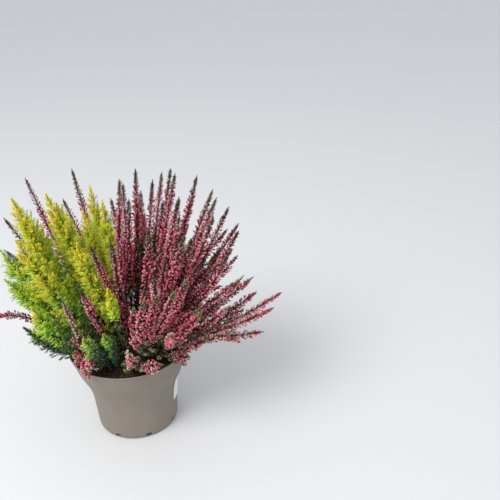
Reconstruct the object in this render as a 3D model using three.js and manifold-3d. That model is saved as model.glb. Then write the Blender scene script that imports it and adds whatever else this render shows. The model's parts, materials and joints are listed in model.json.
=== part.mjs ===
// A potted heather: one grow pot planted with two heathers, a bud-blooming ling with pink spires
// and a golden-leaved heather with feathery plumes. Millimetres, +Z up, origin at the middle of the
// pot's foot, where it stands.
import * as THREE from 'three';
import { mergeVertices } from 'three/addons/utils/BufferGeometryUtils.js';
import Module from 'manifold-3d';

const wasm = await Module();
wasm.setup();

// ---------------------------------------------------------------- driving dimensions

const POT_HEIGHT = 101;            // foot to lip
const POT_WALL = 1.5;
const POT_FLOOR = 2.2;             // thickness of the floor
const POT_SEGMENTS = 36;           // faces round the pot
const POT_OUTLINE = [              // radius and height up the outside, foot to lip
  [42.5, 0], [44.6, 1.4], [45.6, 5], [46.8, 24], [48.2, 43], [52, 60], [56.2, 70],
  [60.2, 80], [61.8, 86], [64.4, 95], [66.5, POT_HEIGHT],
];
const DRAIN_SLOTS = 8;             // round the bottom edge
const DRAIN_SLOT = { width: 8, low: 2.6, high: 5.8 };

const FIT = 0.35;                  // gap between pieces that touch
const SOIL_TOP = 92;               // height of the soil
const SOIL_RISE = 1.2;             // how much higher the middle of the soil is than its edge
const HOLE_RADIUS = 2.5;           // of the hole each stem stands in
const HOLE_DEPTH = 16;
const HOLE_SIDES = 4;

const LABEL = { first: -2, last: 3, low: 30, high: 66, rows: 5, thick: 0.6 };   // first, last: pot faces

const STEM_RADIUS = 1.5;
const SPIRE_RADIUS = 5;            // stem to bud tip on a main spire
const SIDE_SPIRE_RADIUS = 4.7;
const BUD_STEP = 12.8;             // from one pair of buds to the next, larger than life
const BUD_LEAN = 5;                // how far a bud's tip points up its stem
const SHOOT_STEP = 11;             // from one whorl of side shoots on a plume to the next
const SHOOT_LEAN = 9;
const CORE_SHARE = 0.42;           // of a spire's or plume's radius that its slim core takes
const SLIMMEST_CORE = 1.2;

// ---------------------------------------------------------------- the two plants

// Each pink spray: where its spires' tips reach, the first one being the main stem's, then how many
// more side spires grow by rule, how much the stem curves up towards its tip, and where its foot is
// if the rule for feet doesn't place it.
const PINK_SPRAYS = [
  { tips: [[-116, 100, 262]], more: 1, lift: 0.3 },
  { tips: [[-63, 105, 269], [-78, 100, 235]], more: 0, lift: 0.3 },
  { tips: [[-130, 50, 235], [-130, 32, 205]], more: 0, lift: 0.25 },
  { tips: [[10, 10, 290], [16, 12, 268]], more: 0, lift: 0.2 },
  { tips: [[25, 20, 297]], more: 1, lift: 0.2 },
  { tips: [[40, 28, 282], [25, 42, 265], [20, 54, 250]], more: 0, lift: 0.2 },
  { tips: [[58, 36, 290]], more: 2, lift: 0.3 },
  { tips: [[66, 8, 295]], more: 2, lift: 0.3 },
  { tips: [[86, 28, 285]], more: 2, lift: 0.3 },
  { tips: [[106, 2, 270]], more: 2, lift: 0.3 },
  { tips: [[117, 34, 246]], more: 2, lift: 0.3 },
  { tips: [[127, -14, 240]], more: 2, lift: 0.3 },
  { tips: [[72, -30, 285]], more: 2, lift: 0.3 },
  { tips: [[104, -34, 265]], more: 2, lift: 0.3 },
  { tips: [[78, -62, 260]], more: 2, lift: 0.3 },
  { tips: [[117, -42, 230]], more: 2, lift: 0.3 },
  { tips: [[42, -40, 252]], more: 2, lift: 0.3 },
  { tips: [[-15, -47, 245], [2, -37, 243]], more: 0, lift: 0.15, foot: [8, -22] },
  { tips: [[-25, -68, 206]], more: 0, lift: 0.1, foot: [-13, -3] },
  { tips: [[-46, -62, 198], [-34, -62, 114]], more: 0, lift: -0.2, foot: [-44, -33] },
  { tips: [[-145, 0, 140]], more: 0, lift: -2 },
  { tips: [[36, -78, 200]], more: 1, lift: 0.3 },
  { tips: [[52, -92, 214], [68, -98, 222]], more: 0, lift: 0.3 },
  { tips: [[80, -84, 225]], more: 1, lift: 0.3 },
  { tips: [[92, -92, 196]], more: 1, lift: 0.3 },
  { tips: [[116, -50, 175], [116, -66, 152]], more: 0, lift: 0.3 },
  { tips: [[130, -8, 185], [140, 12, 172]], more: 0, lift: 0.5 },
  { tips: [[170, 2, 157]], more: 1, lift: 0.6 },
  { tips: [[160, -30, 158]], more: 1, lift: 0.6 },
  { tips: [[15, -75, 138], [46, -66, 117]], more: 0, lift: 0.2 },
  { tips: [[72, -50, 124], [94, -64, 146]], more: 0, lift: 0.2 },
  { tips: [[126, 66, 212]], more: 2, lift: 0.3 },
  { tips: [[98, 90, 245]], more: 2, lift: 0.3 },
  { tips: [[72, 112, 226]], more: 2, lift: 0.3 },
  { tips: [[42, 88, 268]], more: 2, lift: 0.3 },
  { tips: [[8, 118, 225]], more: 2, lift: 0.3 },
  { tips: [[0, 72, 262]], more: 2, lift: 0.2 },
  { tips: [[-55, 112, 212]], more: 2, lift: 0.3 },
];

// Each golden plume: its tip, its greatest radius, its lift. The low ones are the shaded green shoots.
const GOLDEN_PLUMES = [
  { tip: [-90, -20, 285], radius: 16, lift: 0.2 },
  { tip: [-80, -57, 258], radius: 17, lift: 0.2 },
  { tip: [-60, -10, 285], radius: 17, lift: 0.2 },
  { tip: [-30, 45, 270], radius: 10, lift: 0.2 },
  { tip: [-12, 15, 265], radius: 11, lift: 0.1 },
  { tip: [-28, -42, 245], radius: 16, lift: 0.2 },
  { tip: [-128, 18, 212], radius: 15, lift: 0.3 },
  { tip: [-112, -26, 200], radius: 15, lift: 0.3 },
  { tip: [0, -62, 205], radius: 8, lift: 0.1 },
  { tip: [-75, -66, 190], radius: 15, lift: 0.2 },
  { tip: [-92, 22, 240], radius: 14, lift: 0.3 },
  { tip: [-72, 24, 230], radius: 13, lift: 0.3 },
  { tip: [-82, 78, 228], radius: 14, lift: 0.3 },
  { tip: [-46, 60, 236], radius: 13, lift: 0.3 },
];
const GREEN_SHOOTS = [
  { tip: [-96, -42, 152], radius: 9, lift: 0.2 },
  { tip: [-86, -36, 150], radius: 9, lift: -0.6 },
  { tip: [-30, -68, 152], radius: 10, lift: 0.2 },
  { tip: [-50, -20, 200], radius: 11, lift: 0.2 },
  { tip: [-12, -58, 150], radius: 8, lift: 0.2 },
];

// ---------------------------------------------------------------- colours

const COLOURS = {
  pot: { color: 0x8a8076, roughness: 0.55, metalness: 0 },
  soil: { color: 0x2b1d15, roughness: 0.95, metalness: 0 },
  label: { color: 0xeeeeea, roughness: 0.6, metalness: 0 },
  pink: { color: 0xb8405f, roughness: 0.6, metalness: 0 },
  golden: { color: 0xb9bf2c, roughness: 0.65, metalness: 0 },
  green: { color: 0x4d6b34, roughness: 0.7, metalness: 0 },
};

// ---------------------------------------------------------------- small helpers

// A repeatable stream of numbers from 0 to 1.
function makeRandom(seed) {
  let state = seed;
  return () => {
    state = (state * 16807) % 2147483647;
    return state / 2147483647;
  };
}

const clamp = THREE.MathUtils.clamp;
const UP = new THREE.Vector3(0, 0, 1);

function point([x, y, z]) {
  return new THREE.Vector3(x, y, z);
}

function along(start, direction, distance) {
  return start.clone().addScaledVector(direction, distance);
}

function towards(from, to) {
  return to.clone().sub(from).normalize();
}

// A closed triangle mesh as a manifold solid, its shared corners merged.
function toSolid(geometry) {
  const bare = geometry.clone();
  bare.deleteAttribute('normal');
  bare.deleteAttribute('uv');
  const merged = mergeVertices(bare, 1e-4);
  return new wasm.Manifold(new wasm.Mesh({
    numProp: 3,
    vertProperties: new Float32Array(merged.attributes.position.array),
    triVerts: new Uint32Array(merged.index.array),
  }));
}

function toGeometry(solid) {
  const mesh = solid.getMesh();
  return meshGeometry(mesh.vertProperties, mesh.triVerts);
}

function meshGeometry(positions, triangles) {
  const geometry = new THREE.BufferGeometry();
  geometry.setAttribute('position', new THREE.BufferAttribute(new Float32Array(positions), 3));
  geometry.setIndex(new THREE.BufferAttribute(new Uint32Array(triangles), 1));
  geometry.computeVertexNormals();
  return geometry;
}

function namedMesh(name, geometry, finish) {
  const mesh = new THREE.Mesh(geometry, new THREE.MeshStandardMaterial(finish));
  mesh.name = name;
  return mesh;
}

// ---------------------------------------------------------------- where every stem runs

const STATIONS = 12;               // points along every stem's middle line
const LAST = STATIONS - 1;
const FORKS = [3, 4];              // stations where side spires leave the main stem
const FREE_FROM = 5;               // stations from here on keep clear of their own node's other stems
const BEND_ROUNDS = 60;
const STIFFEN_EVERY = 4;           // rounds
const FARTHEST_MOVE = 1.5;         // of a station in one round
const STEM_GAP = 1.2;              // left between pressing stems
const PLUME_GIVE = 0.8;            // share of its girth that a soft plume presses with
const GOLDEN_ANGLE = 2.399963;
const SAMPLES = 61;                // along a stem, where its room is measured
const SAMPLE_GAP = 0.9;

// Stems leave the soil further out the more they lean, and keep a little apart there.
function stemFeet(plants) {
  const spread = 66;
  const halfLean = 0.8;
  const edge = 55;
  const apart = 8.5;
  let feet = plants.map(({ tip: [x, y, z], foot }) => {
    if (foot) {
      return new THREE.Vector2(...foot);
    }
    const out = Math.hypot(x, y);
    const lean = out / (z - SOIL_TOP);
    const radius = Math.min(edge, spread * lean / (lean + halfLean));
    return new THREE.Vector2(x, y).multiplyScalar(radius / out);
  });
  for (let round = 0; round < 60; round += 1) {
    feet = feet.map((foot) => {
      const moved = foot.clone();
      for (const other of feet) {
        const gap = foot.distanceTo(other);
        if (other !== foot && gap < apart) {
          moved.addScaledVector(foot.clone().sub(other), 0.25 * (apart - gap) / gap);
        }
      }
      return moved.clampLength(0, edge);
    });
  }
  return feet;
}

function bezierStations(a, b, c, d) {
  const curve = new THREE.CubicBezierCurve3(a, b, c, d);
  return Array.from({ length: STATIONS }, (_, k) => curve.getPoint(k / LAST));
}

// A main stem rises from its foot, leans out and lifts its tip again.
function mainStem(foot, tip, lift) {
  const start = new THREE.Vector3(foot.x, foot.y, SOIL_TOP + 1);
  const end = point(tip);
  const length = start.distanceTo(end);
  const straight = towards(start, end);
  const rising = along(straight.clone().multiplyScalar(0.7), UP, 0.7).normalize();
  const arriving = along(straight, UP, lift * 1.2).normalize();
  return bezierStations(start, along(start, rising, length * 0.25),
    along(end, arriving, -length * 0.35), end);
}

// A side spire leaves its main stem at a fork and turns to run beside it.
function sideStem(main, fork, end) {
  const start = main[fork];
  const length = start.distanceTo(end);
  const straight = towards(start, end);
  const leaving = along(straight, towards(main[fork - 1], main[fork + 1]), 0.35).normalize();
  const mainEnd = towards(main[LAST - 2], main[LAST]);
  const arriving = along(straight.clone().multiplyScalar(0.8), mainEnd, 0.7).normalize();
  return bezierStations(start, along(start, leaving, length * 0.3),
    along(end, arriving, -length * 0.35), end);
}

// The tip of a side spire that grows by rule: it stands off the main stem by a share of its length,
// each one turned from the last by the golden angle.
function ruledTip(main, fork, order, turn, random) {
  const axis = towards(main[fork], main[LAST]);
  const sideways = axis.clone().cross(UP).normalize();
  const upwards = sideways.clone().cross(axis);
  const angle = GOLDEN_ANGLE * turn + random() * 0.9;
  const reach = (0.2 + 0.08 * random()) * main[fork].distanceTo(main[LAST]);
  const level = main[9 - order];
  return along(along(level, sideways, reach * Math.cos(angle)), upwards, 0.8 * reach * Math.sin(angle));
}

// All stems as one list, each with its node, its parent, its fork and its stations.
function layStems() {
  const random = makeRandom(20261);
  const stems = [];
  const plumes = [...GOLDEN_PLUMES, ...GREEN_SHOOTS];
  const feet = stemFeet([...PINK_SPRAYS.map(({ tips, foot }) => ({ tip: tips[0], foot })), ...plumes]);
  let turn = 0;
  PINK_SPRAYS.forEach((spray, node) => {
    const main = stems.length;
    const path = mainStem(feet[node], spray.tips[0], spray.lift);
    stems.push({ node, parent: -1, fork: 0, path, radius: SPIRE_RADIUS, plume: false });
    spray.tips.slice(1).forEach((tip, k) => {
      const fork = FORKS[k];
      const side = sideStem(path, fork, point(tip));
      stems.push({ node, parent: main, fork, path: side, radius: SIDE_SPIRE_RADIUS, plume: false });
    });
    for (let k = 0; k < spray.more; k += 1) {
      const fork = FORKS[1 - k];
      const tip = ruledTip(path, fork, k, turn, random);
      const side = sideStem(path, fork, tip);
      stems.push({ node, parent: main, fork, path: side, radius: SIDE_SPIRE_RADIUS, plume: false });
      turn += 1;
    }
  });
  plumes.forEach((plume, k) => {
    const node = PINK_SPRAYS.length + k;
    const path = mainStem(feet[node], plume.tip, plume.lift);
    stems.push({ node, parent: -1, fork: 0, path, radius: plume.radius, plume: true });
  });
  return stems;
}

// How thick a spire or plume is at a share t of its length: it swells above its bare foot and narrows
// again to a blunt tip.
function girth(stem, t) {
  if (stem.plume) {
    const swell = clamp((t - 0.08) / 0.35, 0, 1) * clamp((1.03 - t) / 0.3, 0.12, 1) ** 0.8;
    return 2 + (stem.radius - 2) * swell;
  }
  const first = stem.parent < 0 ? 0.22 : 0.15;
  const swell = clamp((t - first) / 0.15, 0, 1) * clamp((1.02 - t) / 0.25, 0.22, 1);
  return STEM_RADIUS + (stem.radius - STEM_RADIUS) * swell;
}

// How freely a station moves when stems press on each other: not at the foot, fully at the tip.
function freedom(stem, k) {
  const t = k / LAST;
  return stem.parent < 0 ? clamp(2 * t - 0.05, 0, 1) : clamp(1.3 * t, 0, 1);
}

// The lowest a station may lie: on the soil inside the pot, over the lip outside it.
function lowest(place, radius) {
  const s = THREE.MathUtils.smoothstep(Math.hypot(place.x, place.y), 50, 60);
  return SOIL_TOP + (POT_HEIGHT - SOIL_TOP) * s + radius + 1;
}

// Neighbours' pushes, evened out along the stem as a bending stem does.
function evenOut(pushes) {
  return pushes.map((push, k) => {
    if (k === 0) {
      return push.clone();
    }
    const before = pushes[k - 1];
    if (k === LAST) {
      return before.clone().addScaledVector(push, 2).divideScalar(3);
    }
    return before.clone().addScaledVector(push, 2).add(pushes[k + 1]).divideScalar(4);
  });
}

// What presses on one station: every other node's stations nearer than the two girths and a gap.
function pressOn(stems, index, k, girths) {
  const stem = stems[index];
  const here = stem.path[k];
  const push = new THREE.Vector3();
  stems.forEach((other, otherIndex) => {
    const same = other.node === stem.node;
    if (otherIndex === index || (same && k < FREE_FROM)) {
      return;
    }
    for (let m = same ? FREE_FROM : 0; m < STATIONS; m += 1) {
      const need = girths[index][k] + girths[otherIndex][m] + STEM_GAP;
      const away = here.clone().sub(other.path[m]);
      const gap = away.length();
      if (gap < need) {
        push.addScaledVector(away, 0.5 * (need - gap) / (gap + 1e-9));
      }
    }
  });
  return push.multiplyScalar(Math.min(1, FARTHEST_MOVE / (push.length() + 1e-9)));
}

// Stems that would cross are bent clear of each other, a little in every round.
function bendClear(stems) {
  const girths = stems.map((stem) => {
    const share = stem.plume ? PLUME_GIVE : 1;
    return stem.path.map((_, k) => share * girth(stem, k / LAST));
  });
  for (let round = 0; round < BEND_ROUNDS; round += 1) {
    const moves = stems.map((stem, index) => {
      let pushes = stem.path.map((_, k) => pressOn(stems, index, k, girths).multiplyScalar(freedom(stem, k)));
      for (let pass = 0; pass < 3; pass += 1) {
        pushes = evenOut(pushes);
      }
      return pushes.map((push, k) => push.multiplyScalar(freedom(stem, k)));
    });
    stems.forEach((stem, index) => {
      const carried = stem.parent < 0 ? null : moves[stem.parent][stem.fork].clone();
      stem.path = stem.path.map((place, k) => {
        const moved = place.clone().add(moves[index][k]);
        return carried ? moved.add(carried) : moved;
      });
    });
    const stiffen = (round + 1) % STIFFEN_EVERY === 0;
    stems.forEach((stem, index) => settle(stem, girths[index], stiffen));
    stems.forEach((stem) => rejoin(stem, stems));
  }
}

// A stem rests on the soil or the lip, and being stiff it takes small kinks out.
function settle(stem, girths, straighten) {
  stem.path.forEach((place, k) => {
    if (k > 0) {
      place.z = Math.max(place.z, lowest(place, girths[k]));
    }
  });
  if (straighten) {
    const before = stem.path.map((place) => place.clone());
    for (let k = 2; k < LAST; k += 1) {
      const neighbours = before[k - 1].clone().add(before[k + 1]);
      stem.path[k].multiplyScalar(0.5).addScaledVector(neighbours, 0.25);
    }
  }
}

// A side spire stays rooted at its fork.
function rejoin(stem, stems) {
  if (stem.parent < 0) {
    return;
  }
  const slip = stems[stem.parent].path[stem.fork].clone().sub(stem.path[0]);
  stem.path.forEach((place, k) => place.addScaledVector(slip, (1 - k / LAST) ** 2));
}

function sampleAt(values, t) {
  const x = clamp(t, 0, 1) * LAST;
  const k = Math.min(Math.floor(x), LAST - 1);
  return { a: values[k], b: values[k + 1], share: x - k };
}

function placeAt(stem, t) {
  const { a, b, share } = sampleAt(stem.path, t);
  return a.clone().lerp(b, share);
}

// Where two nodes are still tight, both are slimmer there, so a gap stays between them.
function slimWhereTight(stems) {
  const shares = Array.from({ length: SAMPLES }, (_, k) => k / (SAMPLES - 1));
  const dots = stems.map((stem) => shares.map((t) => ({ place: placeAt(stem, t), radius: girth(stem, t) })));
  stems.forEach((stem, index) => {
    stem.girth = dots[index].map((dot) => {
      let radius = dot.radius;
      stems.forEach((other, otherIndex) => {
        if (other.node !== stem.node) {
          for (const there of dots[otherIndex]) {
            const room = dot.place.distanceTo(there.place) - SAMPLE_GAP;
            radius = Math.min(radius, room * dot.radius / (dot.radius + there.radius));
          }
        }
      });
      return radius;
    });
  });
}

const stems = layStems();
bendClear(stems);
slimWhereTight(stems);

// ---------------------------------------------------------------- spires and plumes

// Two directions across a stem that hold still along it as it bends.
function crossDirections(axis) {
  const side = new THREE.Vector3(0, 1, 0).cross(axis).normalize();
  return [side, axis.clone().cross(side).normalize()];
}

// A tube along a stem whose corners are far out and close in by turns, in ring after ring, so every
// far corner is the tip of a four-sided bud or shoot on the slim core. Tips lean up the stem in
// proportion to how far out they are.
function spikedTube(rings, sides, tip) {
  const positions = [];
  const triangles = [];
  rings.forEach((ring, row) => {
    const [side, other] = crossDirections(ring.axis);
    for (let i = 0; i < sides; i += 1) {
      const out = (i + row) % 2 === 0;
      const radius = out ? ring.out : ring.core;
      const lean = out ? ring.lean : 0;
      const angle = 2 * Math.PI * i / sides;
      const sideways = along(ring.place, side, radius * Math.cos(angle));
      const corner = along(sideways, other, radius * Math.sin(angle));
      positions.push(...along(corner, ring.axis, lean).toArray());
    }
  });
  for (let row = 0; row + 1 < rings.length; row += 1) {
    for (let i = 0; i < sides; i += 1) {
      const a = row * sides + i;
      const b = row * sides + (i + 1) % sides;
      const c = b + sides;
      const d = a + sides;
      const firstIsOut = (i + row) % 2 === 0;
      triangles.push(...(firstIsOut ? [a, b, d, b, c, d] : [a, b, c, a, c, d]));
    }
  }
  const top = rings.length * sides;
  positions.push(...tip.toArray());
  for (let i = 0; i < sides; i += 1) {
    triangles.push(top - sides + i, top - sides + (i + 1) % sides, top);
  }
  for (let i = 1; i + 1 < sides; i += 1) {
    triangles.push(0, i + 1, i);
  }
  return meshGeometry(positions, triangles);
}

function stemLength(stem) {
  return stem.path.slice(1).reduce((sum, place, k) => sum + place.distanceTo(stem.path[k]), 0);
}

function directionAt(stem, t) {
  return towards(placeAt(stem, t - 0.05), placeAt(stem, t + 0.05));
}

// The slimmest the stem's room gets within half a step of t.
function roomAt(stem, t, step) {
  const first = Math.max(0, Math.floor((t - step / 2) * (SAMPLES - 1)));
  const last = Math.min(SAMPLES - 1, Math.ceil((t + step / 2) * (SAMPLES - 1)));
  return Math.min(...stem.girth.slice(first, last + 1));
}

// Rings up one stem: bare and widely spaced below, then a ring for every pair of buds or whorl.
function ringsUp(stem, random, step, lean, bareShare) {
  const length = stemLength(stem);
  const rings = [];
  const addRing = (t, spiked) => {
    const room = roomAt(stem, t, spiked ? step / length : 0);
    const out = spiked ? Math.max(room * (0.88 + 0.12 * random()), STEM_RADIUS) : STEM_RADIUS;
    const core = spiked ? Math.max(CORE_SHARE * out, SLIMMEST_CORE) : STEM_RADIUS;
    const reach = spiked ? lean * clamp((out - core) / (stem.radius * 0.58), 0, 1) : 0;
    rings.push({ place: placeAt(stem, t), axis: directionAt(stem, t), out, core, lean: reach });
  };
  if (stem.parent < 0) {
    const foot = stem.path[0];
    const below = new THREE.Vector3(foot.x, foot.y, SOIL_TOP - HOLE_DEPTH + 1);
    for (const place of [below, foot]) {
      rings.push({ place, axis: UP, out: STEM_RADIUS, core: STEM_RADIUS, lean: 0 });
    }
  } else {
    addRing(0, false);
  }
  const bareRings = stem.parent < 0 ? 2 : 1;
  for (let k = 1; k <= bareRings; k += 1) {
    addRing(bareShare * k / bareRings, false);
  }
  const count = Math.max(3, Math.round(length * (0.97 - bareShare) / step));
  for (let k = 1; k <= count; k += 1) {
    addRing(bareShare + (0.97 - bareShare) * k / count, true);
  }
  return rings;
}

function stemTube(stem, random) {
  const step = stem.plume ? SHOOT_STEP : BUD_STEP;
  const lean = stem.plume ? SHOOT_LEAN : BUD_LEAN;
  const bareShare = stem.plume ? 0.1 : (stem.parent < 0 ? 0.22 : 0.13);
  const rings = ringsUp(stem, random, step, lean, bareShare);
  const tip = along(stem.path[LAST], directionAt(stem, 1), stem.plume ? 3 : 2);
  return spikedTube(rings, stem.plume ? 8 : 4, tip);
}

// One spray or plume: its main stem and side spires joined in one solid.
function growNode(node, random) {
  const parts = stems.filter((stem) => stem.node === node).map((stem) => toSolid(stemTube(stem, random)));
  const joined = parts.reduce((sum, part) => sum.add(part));
  return toGeometry(joined.simplify(0.01));
}

function plantMeshes() {
  const random = makeRandom(7031);
  const kinds = [
    ['pink_spray', PINK_SPRAYS.length, COLOURS.pink],
    ['golden_plume', GOLDEN_PLUMES.length, COLOURS.golden],
    ['green_shoot', GREEN_SHOOTS.length, COLOURS.green],
  ];
  const meshes = [];
  for (const [kind, count, finish] of kinds) {
    for (let k = 1; k <= count; k += 1) {
      const name = `${kind}_${String(k).padStart(2, '0')}`;
      meshes.push(namedMesh(name, growNode(meshes.length, random), finish));
    }
  }
  return meshes;
}

// ---------------------------------------------------------------- pot, soil and label

// A lathed solid of an outline that starts and ends on the axis, +Z up.
function latheSolid(outline, segments) {
  const points = outline.map(([r, z]) => new THREE.Vector2(r, z));
  const geometry = new THREE.LatheGeometry(points, segments);
  geometry.rotateX(Math.PI / 2);
  return toSolid(geometry);
}

function potRadiusAt(z) {
  const above = POT_OUTLINE.findIndex(([, height]) => height >= z);
  const [r1, z1] = POT_OUTLINE[Math.max(0, above - 1)];
  const [r2, z2] = POT_OUTLINE[Math.max(1, above)];
  return r1 + (r2 - r1) * (z - z1) / (z2 - z1);
}

const INNER_HEIGHTS = [POT_HEIGHT - 1, 86, 80, 60, 43, POT_FLOOR + 3];

function makePot() {
  const inside = INNER_HEIGHTS.map((z) => [potRadiusAt(z) - POT_WALL, z]);
  const lipInside = [potRadiusAt(POT_HEIGHT) - POT_WALL - 0.4, POT_HEIGHT];
  const floor = [[potRadiusAt(POT_FLOOR) - POT_WALL - 2.4, POT_FLOOR], [0, POT_FLOOR]];
  let pot = latheSolid([[0, 0], ...POT_OUTLINE, lipInside, ...inside, ...floor], POT_SEGMENTS);
  for (let k = 0; k < DRAIN_SLOTS; k += 1) {
    const slot = new THREE.BoxGeometry(12, DRAIN_SLOT.width, DRAIN_SLOT.high - DRAIN_SLOT.low);
    slot.translate(45, 0, (DRAIN_SLOT.high + DRAIN_SLOT.low) / 2);
    slot.rotateZ(2 * Math.PI * (k + 0.5) / DRAIN_SLOTS);
    pot = pot.subtract(toSolid(slot));
  }
  return namedMesh('pot', toGeometry(pot), COLOURS.pot);
}

function makeSoil() {
  const insideAt = (z) => potRadiusAt(z) - POT_WALL - FIT;
  const low = POT_FLOOR + FIT;
  const edge = SOIL_TOP - SOIL_RISE;
  const sides = [80, 60, 43, POT_FLOOR + 3.2].map((z) => [insideAt(z), z]).reverse();
  const outline = [[0, low], [insideAt(low) - 2.6, low], ...sides, [insideAt(86) - 0.2, 86],
    [insideAt(edge) - 0.4, edge], [30, SOIL_TOP], [0, SOIL_TOP]];
  let soil = latheSolid(outline, POT_SEGMENTS);
  for (const stem of stems.filter((one) => one.parent < 0)) {
    const hole = new THREE.CylinderGeometry(HOLE_RADIUS, HOLE_RADIUS, HOLE_DEPTH + 5, HOLE_SIDES);
    hole.rotateX(Math.PI / 2);
    hole.translate(stem.path[0].x, stem.path[0].y, SOIL_TOP - HOLE_DEPTH / 2 + 2.5);
    soil = soil.subtract(toSolid(hole));
  }
  return namedMesh('soil', toGeometry(soil), COLOURS.soil);
}

// The label follows the pot's own faces, a fit's gap off them.
function makeLabel() {
  const columns = LABEL.last - LABEL.first;
  const positions = [];
  for (const off of [FIT, FIT + LABEL.thick]) {
    for (let row = 0; row <= LABEL.rows; row += 1) {
      const z = LABEL.low + (LABEL.high - LABEL.low) * row / LABEL.rows;
      for (let column = 0; column <= columns; column += 1) {
        const angle = 2 * Math.PI * (LABEL.first + column) / POT_SEGMENTS;
        const radius = potRadiusAt(z) + off;
        positions.push(radius * Math.cos(angle), radius * Math.sin(angle), z);
      }
    }
  }
  const width = columns + 1;
  const layer = width * (LABEL.rows + 1);
  const triangles = [];
  for (let row = 0; row < LABEL.rows; row += 1) {
    for (let column = 0; column < columns; column += 1) {
      const a = row * width + column;
      triangles.push(a, a + width, a + 1, a + 1, a + width, a + width + 1);
      const b = a + layer;
      triangles.push(b, b + 1, b + width, b + 1, b + width + 1, b + width);
    }
  }
  const rim = labelRim(columns, width);
  rim.forEach((a, k) => {
    const b = rim[(k + 1) % rim.length];
    triangles.push(a, b, b + layer, a, b + layer, a + layer);
  });
  return namedMesh('label', meshGeometry(positions, triangles), COLOURS.label);
}

// The label's edge as grid corners, once round.
function labelRim(columns, width) {
  const rim = [];
  for (let column = 0; column < columns; column += 1) {
    rim.push(column);
  }
  for (let row = 0; row < LABEL.rows; row += 1) {
    rim.push(row * width + columns);
  }
  for (let column = columns; column > 0; column -= 1) {
    rim.push(LABEL.rows * width + column);
  }
  for (let row = LABEL.rows; row > 0; row -= 1) {
    rim.push(row * width);
  }
  return rim;
}

// ---------------------------------------------------------------- the whole plant

const pottedHeather = new THREE.Group();
pottedHeather.add(makePot(), makeSoil(), makeLabel(), ...plantMeshes());

export default pottedHeather;
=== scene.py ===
"""A potted heather: one grow pot with a bud-blooming ling and a golden-leaved heather in it.

Every stem runs where the solid model's stem runs: the tips, the feet and the rule that bends the stems
clear of each other are the same. On those stems grow the buds, scale leaves and feathery side shoots.
Plants are worked out in millimetres and put into their meshes in metres, +Z up.
"""

import functools
import json
import math

import bpy
import numpy as np
from bpy.props import FloatProperty, FloatVectorProperty, IntProperty, PointerProperty
from mathutils import Matrix

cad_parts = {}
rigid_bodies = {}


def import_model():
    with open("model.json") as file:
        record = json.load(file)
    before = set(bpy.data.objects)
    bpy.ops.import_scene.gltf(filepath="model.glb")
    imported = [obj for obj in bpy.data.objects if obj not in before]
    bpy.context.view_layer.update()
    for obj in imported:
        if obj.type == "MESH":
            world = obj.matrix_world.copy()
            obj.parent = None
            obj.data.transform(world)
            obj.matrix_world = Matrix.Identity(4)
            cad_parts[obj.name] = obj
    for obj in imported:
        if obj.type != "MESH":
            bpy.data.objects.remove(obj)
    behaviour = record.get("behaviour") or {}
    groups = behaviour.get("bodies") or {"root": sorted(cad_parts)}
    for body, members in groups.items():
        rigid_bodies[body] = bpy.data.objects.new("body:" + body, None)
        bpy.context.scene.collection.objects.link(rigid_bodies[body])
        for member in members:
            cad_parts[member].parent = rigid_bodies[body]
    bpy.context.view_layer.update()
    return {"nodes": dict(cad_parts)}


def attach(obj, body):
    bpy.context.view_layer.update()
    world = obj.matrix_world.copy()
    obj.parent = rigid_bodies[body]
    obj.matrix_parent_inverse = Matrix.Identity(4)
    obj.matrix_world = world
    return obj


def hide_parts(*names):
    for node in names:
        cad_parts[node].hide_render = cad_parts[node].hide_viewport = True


bl_info = {
    "name": "Potted heather",
    "version": (1, 0, 0),
    "blender": (4, 5, 0),
    "location": "3D View > Sidebar > Heather",
    "description": "Dresses a potted heather: buds, foliage, compost, grow pot and label",
    "category": "Add Mesh",
}

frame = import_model()
BODY = "root"
MM = 0.001

# ---------------------------------------------------------------- sizes shared with the solid model, in mm

POT_HEIGHT = 101.0
POT_WALL = 1.5
POT_FLOOR = 2.2
# The pot's outer radius and its height, from foot to lip.
POT_OUTLINE = np.array([
    (42.5, 0), (44.6, 1.4), (45.6, 5), (46.8, 24), (48.2, 43), (52, 60), (56.2, 70),
    (60.2, 80), (61.8, 86), (64.4, 95), (66.5, POT_HEIGHT),
])
DRAIN_SLOTS = 8
SLOT_WIDTH = 8.0
SLOT_LOW, SLOT_HIGH = 2.6, 5.8
# The room between a piece and the one that holds it.
FIT = 0.35
SOIL_TOP = 92.0
SOIL_RISE = 1.2
# In degrees round the pot from +X, and up the pot.
LABEL_ANGLES = (-20.0, 30.0)
LABEL_HEIGHTS = (30.0, 66.0)

STEM_RADIUS = 1.5
SPIRE_RADIUS = 5.0
SIDE_SPIRE_RADIUS = 4.7

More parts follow.
